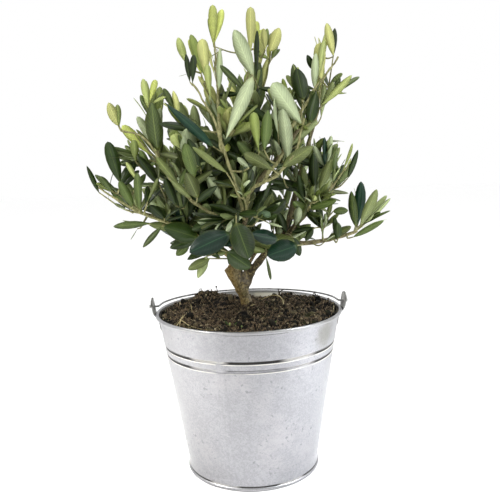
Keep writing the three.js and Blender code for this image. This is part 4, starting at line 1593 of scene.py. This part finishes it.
def growShoot(dice, mass, path, shade, radius, crown):
    length = lengthOf(path)
    count = max(int(length / shoot["step"]), 4)
    path = smoothed(path[:: max(len(path) // 8, 1)] if len(path) > 16 else path, count)
    wander = np.array([[dice.gauss(0, shoot["wander"]) for _ in range(3)] for _ in range(count)])
    wander[0] = 0
    path = path + np.cumsum(wander, axis=0) * 0.5
    ratio = np.linspace(0, 1, count)
    twigPaths.append((path, radius + (shoot["tipRadius"] - radius) * ratio ** 0.8))
    before = leafCount()
    travel = ratio * length
    azimuth = dice.uniform(0, 2 * math.pi)
    reached = shoot["firstPair"]
    while reached < length - shoot["lastGap"]:
        t = reached / length
        base = np.array([np.interp(reached, travel, path[:, k]) for k in range(3)])
        step = min(int(t * (count - 1)), count - 2)
        axis = unit(path[step + 1] - path[step])
        for half in (0, math.pi):
            out = outward(axis, azimuth + half + dice.gauss(0, 0.22))
            placeLeaf(dice, mass, base, axis, out, t, shade)
        azimuth += math.pi / 2 + dice.gauss(0, 0.2)
        thinning = max(min((base[2] - shoot["wideAbove"]) / shoot["wideWithin"], 1), 0)
        reached += shoot["pairGap"] * dice.uniform(0.8, 1.25) * (1.0 + 0.9 * thinning)
    endShoot(dice, mass, path, shade, azimuth, crown)
    if leafCount() == before:
        twigPaths.pop()  # nothing grew on it


def placeLeaf(dice, mass, base, axis, out, t, shade):
    wide, narrow = shoot["spread"]
    angle = math.radians(wide + (narrow - wide) * t + dice.gauss(0, 7))
    wanted = dice.uniform(*leaf["length"]) * (0.82 + 0.3 * math.sin(math.pi * min(t + 0.2, 1)))
    best = None
    for _ in range(5):  # steeper each time, until it fits
        along = unit(math.cos(angle) * axis + math.sin(angle) * out + up * shoot["rise"] * math.sin(angle))
        room = mass.room(base, along) + shoot["slack"] if mass else 1.0
        if best is None or room > best[1]:
            best = (along, room, angle)
        if room >= wanted:
            break
        angle *= 0.72
    along, room, angle = best
    length = min(wanted, max(room, 0.62 * wanted))
    if room < 0.45 * wanted and dice.random() < 0.6:
        return
    face = math.sin(angle) * axis - math.cos(angle) * out
    face = unit(face - along * (face @ along) + up * dice.uniform(0.0, 0.6))
    tilt = dice.gauss(0, 0.7)
    sideways = np.cross(along, face)
    face = face * math.cos(tilt) + sideways * math.sin(tilt)
    width = length * dice.uniform(*leaf["slender"])
    if base[2] > leaf["sparseAbove"] and dice.random() < 0.55:
        return
    if base[0] > leaf["narrowBeyond"] and base[2] < leaf["narrowBelow"]:
        if dice.random() < 0.3:
            return
        width *= 0.72
    addLeaf(dice, shade if dice.random() < 0.8 else nextShade(shade), base, along, face, length, width)


def endShoot(dice, mass, path, shade, azimuth, crown):
    axis = unit(path[-1] - path[-3])
    for pair, (angle, share) in enumerate(shoot["endPairs"]):
        for half in (0, math.pi):
            out = outward(axis, azimuth + half + pair * math.pi / 2 + dice.gauss(0, 0.15))
            lean = math.radians(max(angle + dice.gauss(0, 4), 9))
            along = math.cos(lean) * axis + math.sin(lean) * out
            room = mass.room(path[-1], along) + 1 * mm if mass else crown * share
            length = crown * share * dice.uniform(0.85, 1.0)
            if pair == 0 and room > 0.5 * length:
                length = min(max(length, room * 0.9), room)
            length = min(length, crown * 1.25)
            face = math.sin(lean) * axis - math.cos(lean) * out
            width = length * dice.uniform(0.12, 0.16)
            addLeaf(dice, nextShade(shade), path[-1], along, face, length, width, dice.uniform(-0.1, 0.15))


def growMass(dice, mass):
    crown = min(shoot["crownLeaf"], mass.length * 0.5)
    spine = mass.path
    level = 1 - abs(unit(mass.tip - mass.foot)[2])  # level masses turn their shoots upwards
    spine = spine + up * (np.linspace(0, 1, len(spine)) ** 2 * level * mass.width * 0.35)[:, None]
    travel = np.linspace(0, mass.length, len(spine))
    stop = max(int(np.searchsorted(travel, mass.length - crown)), 6)
    shade = dealShade(dice, mass.tip)
    growShoot(dice, mass, spine[:stop], shade, shoot["twigRadius"], crown)
    extra = int(round((mass.width - shoot["sideFrom"]) / shoot["sideEvery"]))
    extra += 0 if mass.tip[2] > shoot["fewerAbove"] else 1
    axis = unit(spine[-1] - spine[0])
    turn = dice.uniform(0, 2 * math.pi)
    for i in range(max(min(extra, 4), 1)):
        t = 0.12 + 0.42 * (i + dice.random()) / max(extra, 1)
        start = spine[int(t * (len(spine) - 1))]
        ahead = min(t + dice.uniform(0.35, 0.5), 0.88)
        centre = spine[int(ahead * (len(spine) - 1))]
        turn += shoot["turn"]
        out = unit(outward(axis, turn) + up * level * 1.1)
        away = mass.room(centre, out)
        end = centre + out * away * 0.72
        total = np.linalg.norm(end - start)
        sideCrown = min(crown * 0.85, total * 0.62)
        middle = start + (end - start) * 0.5 + axis * total * 0.04 + out * total * 0.06
        path = smoothed(np.array([start, middle, end]), 20)
        stop = max(int(20 * (1 - sideCrown / total)), 5)
        growShoot(dice, mass, path[:stop], dealShade(dice, end), shoot["twigRadius"] * 0.75, sideCrown)


def growInner(dice):  # short leafy shoots along the boughs, inside the crown
    for name, (path, _) in limbs.items():
        if name == "trunk":
            continue
        closer = innerShoots["closerLeft"] if name.startswith("left") else 1
        total = lengthOf(path)
        reached = total * innerShoots["from"].get(name, 0.15)
        turn = dice.uniform(0, 6.3)
        while reached < total * innerShoots["to"].get(name, 0.95):
            i = min(int(reached / total * (len(path) - 1)), len(path) - 2)
            axis = unit(path[i + 1] - path[i])
            turn += shoot["turn"] + dice.gauss(0, 0.3)
            out = outward(axis, turn)
            along = unit(0.5 * axis + 0.8 * out + up * dice.uniform(0.15, 0.6))
            length = dice.uniform(*innerShoots["length"])
            middle = path[i] + along * length * 0.5 - up * 0.04 * length
            shootPath = smoothed(np.array([path[i], middle, path[i] + unit(along + up * 0.3) * length]), 16)
            shade = dealShade(dice, shootPath[-1], shading["inner"])
            growShoot(dice, None, shootPath, shade, shoot["twigRadius"] * 0.7, innerShoots["crownLeaf"])
            reached += innerShoots["gap"] * dice.uniform(0.7, 1.3) * closer


def growStems(dice):
    count = stemShape["points"]
    steps = np.arange(count)
    for points in stems.values():
        path = smoothed(np.array(points) * mm, count)
        wander = [[dice.gauss(0, stemShape["wander"]) for _ in range(3)] for _ in range(count)]
        path += np.cumsum(np.array(wander), axis=0)
        girth = np.linspace(stemShape["foot"], stemShape["tip"], count)
        girth = girth * (1 + stemShape["jointRing"] * np.exp(-((steps % 9 - 4) / 1.1) ** 2))
        bearers = [bearer for bearer, _ in [*limbs.values(), *twigPaths]]
        joints = [bearer[nearest(bearer, path[0])] for bearer in bearers]
        joint = min(joints, key=lambda spot: np.linalg.norm(spot - path[0]))  # what it grows from
        twigPaths.append((np.vstack([joint, path]), np.concatenate([girth[:1], girth])))


def addPair(dice, spot, axis, reach, shade):  # two small leaves that stay inside a reach from the core
    turn = dice.uniform(0, 2 * math.pi)
    for half in (0, math.pi):
        out = outward(axis, turn + half)
        along = unit(0.55 * axis + 0.8 * out + 0.2 * up)
        size = dice.uniform(*leaf["lesser"])
        width = size * dice.uniform(*leaf["slender"])
        if np.linalg.norm(spot + along * size - core) < reach:
            addLeaf(dice, shade, spot, along, axis - 0.5 * out + 0.3 * up, size, width)


def growSpecimens(dice):
    bearers = [path for name, (path, _) in limbs.items() if name != "trunk"]
    bearers += [path for path, _ in twigPaths]
    stretch = np.array((2.0, 0.6, 2.0))  # each joins whatever lies straight behind it
    for foot, tip, width, shade, facing in specimens.values():
        base, end = np.array(foot) * mm, np.array(tip) * mm
        joints = [path[nearest(path * stretch, base * stretch)] for path in bearers]
        # no joint in front of the leaf's foot or above it, if another can be had
        wrong = [0.1 * (spot[1] < base[1]) + 0.1 * (spot[2] > base[2]) for spot in joints]
        reach = [np.linalg.norm((spot - base) * stretch) + extra for spot, extra in zip(joints, wrong)]
        joint = joints[int(np.argmin(reach))]
        along = end - base
        length = np.linalg.norm(along)
        front = 1 if facing == "upper" else -1
        if base[2] < leaf["peatBelow"]:
            face = np.array((0.1, -1, 0.6)) * front
            addLeaf(dice, shade, base, along, face, length, width * mm / 2, 0.5, False)
            continue
        bend = (base + joint) / 2 - unit(along + up * length * 0.3) * np.linalg.norm(base - joint) * 0.12
        path = smoothed(np.array([joint, bend, base]), 14)
        twigPaths.append((path, np.linspace(shoot["twigRadius"] * 0.75, 0.5 * mm, 14)))
        for i in (5, 10):  # a pair of lesser leaves at each node of the twig
            axis = unit(path[i + 1] - path[i])
            addPair(dice, path[i], axis, np.linalg.norm(base - core), nextShade(shade, -1))
        face = np.array((dice.gauss(0, 0.4), -1.0, 0.3)) * front
        width = width * mm * leaf["listed"]
        addLeaf(dice, shade, base, along, face, length, width, dice.uniform(0.02, 0.2), False)


def bladeTemplate():  # a thin closed blade: how far along, how far across, which face
    rows = (0.0, 0.08, 0.22, 0.4, 0.58, 0.75, 0.88, 0.96)
    columns = (-1.0, -0.05, 0.05, 1.0)
    corners, index = [], {}
    for row, along in enumerate(rows):
        for column, across in enumerate(columns):
            for side in (1, -1):
                edge = row == 0 or abs(across) == 1
                if edge and side < 0:
                    index[row, column, side] = index[row, column, 1]
                    continue
                index[row, column, side] = len(corners)
                corners.append((along, across, 0 if edge else side))
    tip = len(corners)
    corners.append((1.0, 0.0, 0))
    faces, under, rib = [], [], []
    for side in (1, -1):
        for column in range(len(columns) - 1):
            for row in range(len(rows) - 1):
                quad = [index[row, column, side], index[row + 1, column, side]]
                quad += [index[row + 1, column + 1, side], index[row, column + 1, side]]
                # both faces split on the same diagonal
                faces.append([quad[0], *quad[:0:-1]] if side > 0 else quad)
            end = [index[len(rows) - 1, column, side], tip, index[len(rows) - 1, column + 1, side]]
            faces.append(end[::-1] if side > 0 else end)
            under += [side < 0] * len(rows)
            rib += [column == 1] * len(rows)
    blade = meshOf("bladeTemplate", corners, faces, blade=corners)
    for key, values in (("under", under), ("rib", rib)):
        blade.data.attributes.new(key, "BOOLEAN", "FACE").data.foreach_set("value", values)
    return blade


def leafTree():
    faces = {name: "Material" for name in ("Upper", "Under", "Rib", "UnderRib")}
    tree = Growth("leafGrowth", Blade="Object", Petiole="Float", **faces)
    given = tree.given
    blade = tree.node("GeometryNodeObjectInfo", None, {"Object": given.beside("Blade")}, "Geometry")
    leaves = tree.node("GeometryNodeInstanceOnPoints", None, {"Points": given, "Instance": blade})
    leaves = tree.node("GeometryNodeRealizeInstances", None, {"Geometry": leaves})
    u, across, side = tree.split(tree.named("blade", "FLOAT_VECTOR"))
    length, width, thickness = tree.split(tree.named("size", "FLOAT_VECTOR"))
    curl, fold, twist = tree.split(tree.named("bend", "FLOAT_VECTOR"))
    foot, blunt, full = tree.split(tree.named("belly", "FLOAT_VECTOR"))
    phase, wave, _ = tree.split(tree.named("ripple", "FLOAT_VECTOR"))
    # widest between foot and tip, on a short stalk
    belly = (u ** foot) * ((1 - u) ** blunt) * full
    half = width * tree.maths("MAXIMUM", belly, given.beside("Petiole") * (1 - u))
    y = across * half
    raised = tree.maths("ABSOLUTE", y) * fold - (across * across) * half * fold * 0.6
    ripple = tree.maths("SINE", u * 5 + phase + across * 0.7) * length * wave * 0.4
    body = thickness * side * (1 - across * across * 0.6) * tree.maths("MINIMUM", u * 8, 1.0)
    z = raised + ripple * u + body
    spun = twist * u
    cosine, sine = tree.maths("COSINE", spun), tree.maths("SINE", spun)
    yTurned = y * cosine - z * sine
    zTurned = y * sine + z * cosine
    drop = curl * u
    x = length * u * (1 - drop * drop / 6) + zTurned * drop
    fall = length * u * drop / 2
    along, face = tree.named("along", "FLOAT_VECTOR"), tree.named("face", "FLOAT_VECTOR")
    sideways = tree.vector("CROSS_PRODUCT", face, along)
    spot = tree.vector("ADD", tree.named("base", "FLOAT_VECTOR"), tree.scaled(along, x))
    spot = tree.vector("ADD", spot, tree.scaled(sideways, yTurned))
    spot = tree.vector("ADD", spot, tree.scaled(face, zTurned - fall))
    leaves = tree.node("GeometryNodeSetPosition", None, {"Geometry": leaves, "Position": spot})
    under, rib = tree.named("under", "BOOLEAN"), tree.named("rib", "BOOLEAN")
    both = tree.node("FunctionNodeBooleanMath", {"operation": "AND"}, {0: under, 1: rib})
    tree.end(
        leaves,
        (given.beside("Upper"), None),
        (given.beside("Under"), under),
        (given.beside("Rib"), rib),
        (given.beside("UnderRib"), both),
    )
    return tree


def leafFinish(name, shade, roughness, contrast):
    skin = Finish(name, Roughness=roughness)
    skin.shader.inputs["Specular IOR Level"].default_value = 0.35
    cloud = skin.noise(160, 2)
    cells = skin.noise(1500, 2)
    along, across, _ = skin.split(skin.stored("blade", "Vector"))
    own, _, _ = skin.split(skin.stored("ripple", "Vector"))
    aside = skin.maths("ABSOLUTE", across)
    veins = skin.maths("SINE", (along - aside * 0.22) * 80) * 0.5 + 0.5
    tone = cloud * 0.3 + cells * 0.25 + own * (0.3 / 6.3) + veins * 0.15
    dark = linear([part * (1 - contrast) for part in shade])
    light = linear([min(part * (1 + contrast * 0.8), 1) for part in shade])
    colour = skin.blend(tone.ramp(0.25, 0.75), dark, light)
    margin = aside.ramp(0.8, 1.0) * 0.25 + along.ramp(0.12, 0.0) * 0.5
    edge = [part * 0.55 + 0.32 for part in shade[:2]] + [shade[2] * 0.6 + 0.12]
    colour = skin.blend(margin, colour, linear(edge))
    skin.feed(Base_Color=colour, Roughness=roughness - 0.05 + cells * 0.12)
    skin.bump(cells * 0.6 + veins * 0.4, 0.3, 0.12 * mm)
    return skin.material


def leafSkins(name, upper, under, rib):  # the four materials of one shade
    gloss = leaf["glossy" if name in ("Teal", "Dark") else "satin"]
    ribShade = [part * 0.45 + other * 0.55 for part, other in zip(rib, upper)]
    underRib = [min(part * 1.12, 1) for part in under]
    return {
        "Upper": leafFinish("leafUpper" + name, upper, gloss, 0.25),
        "Under": leafFinish("leafUnder" + name, under, 0.7, 0.11),
        "Rib": leafFinish("leafRib" + name, ribShade, 0.5, 0.05),
        "UnderRib": leafFinish("leafUnderRib" + name, underRib, 0.6, 0.05),
    }


def addLeaves():
    blade = bladeTemplate()
    tree = leafTree()
    keys = ("base", "along", "face", "size", "bend", "belly", "ripple")
    for name, (upper, under, rib) in shades.items():
        rows = leafLists[name]
        columns = [np.array([row[k] for row in rows], dtype=float) for k in range(len(keys))]
        points = meshOf("points" + name, columns[0], **dict(zip(keys, columns)))
        piece = tree.run(
            "leaves" + name, points,
            drop=(*keys[:-1], "under", "rib"),
            Blade=blade,
            Petiole=leaf["stalk"],
            **leafSkins(name, upper, under, rib),
        )
        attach(piece, "planter")
    bpy.data.objects.remove(blade)


massNodes = sorted(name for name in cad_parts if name.startswith("leaves_"))
for node in massNodes:
    growMass(random.Random(f"{shoot['seed']} {node}"), Mass(node))
dice = random.Random(shoot["seed"])
growInner(dice)
growStems(dice)
growSpecimens(dice)
addLeaves()
twigs = sweep.run("twigs", polylines("twigPaths", twigPaths), drop=("girth",), Sides=7, Surface=twigFinish())
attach(twigs, "planter")
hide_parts(*massNodes)
print("crown grown:", leafCount(), "leaves,", len(twigPaths), "shoots")
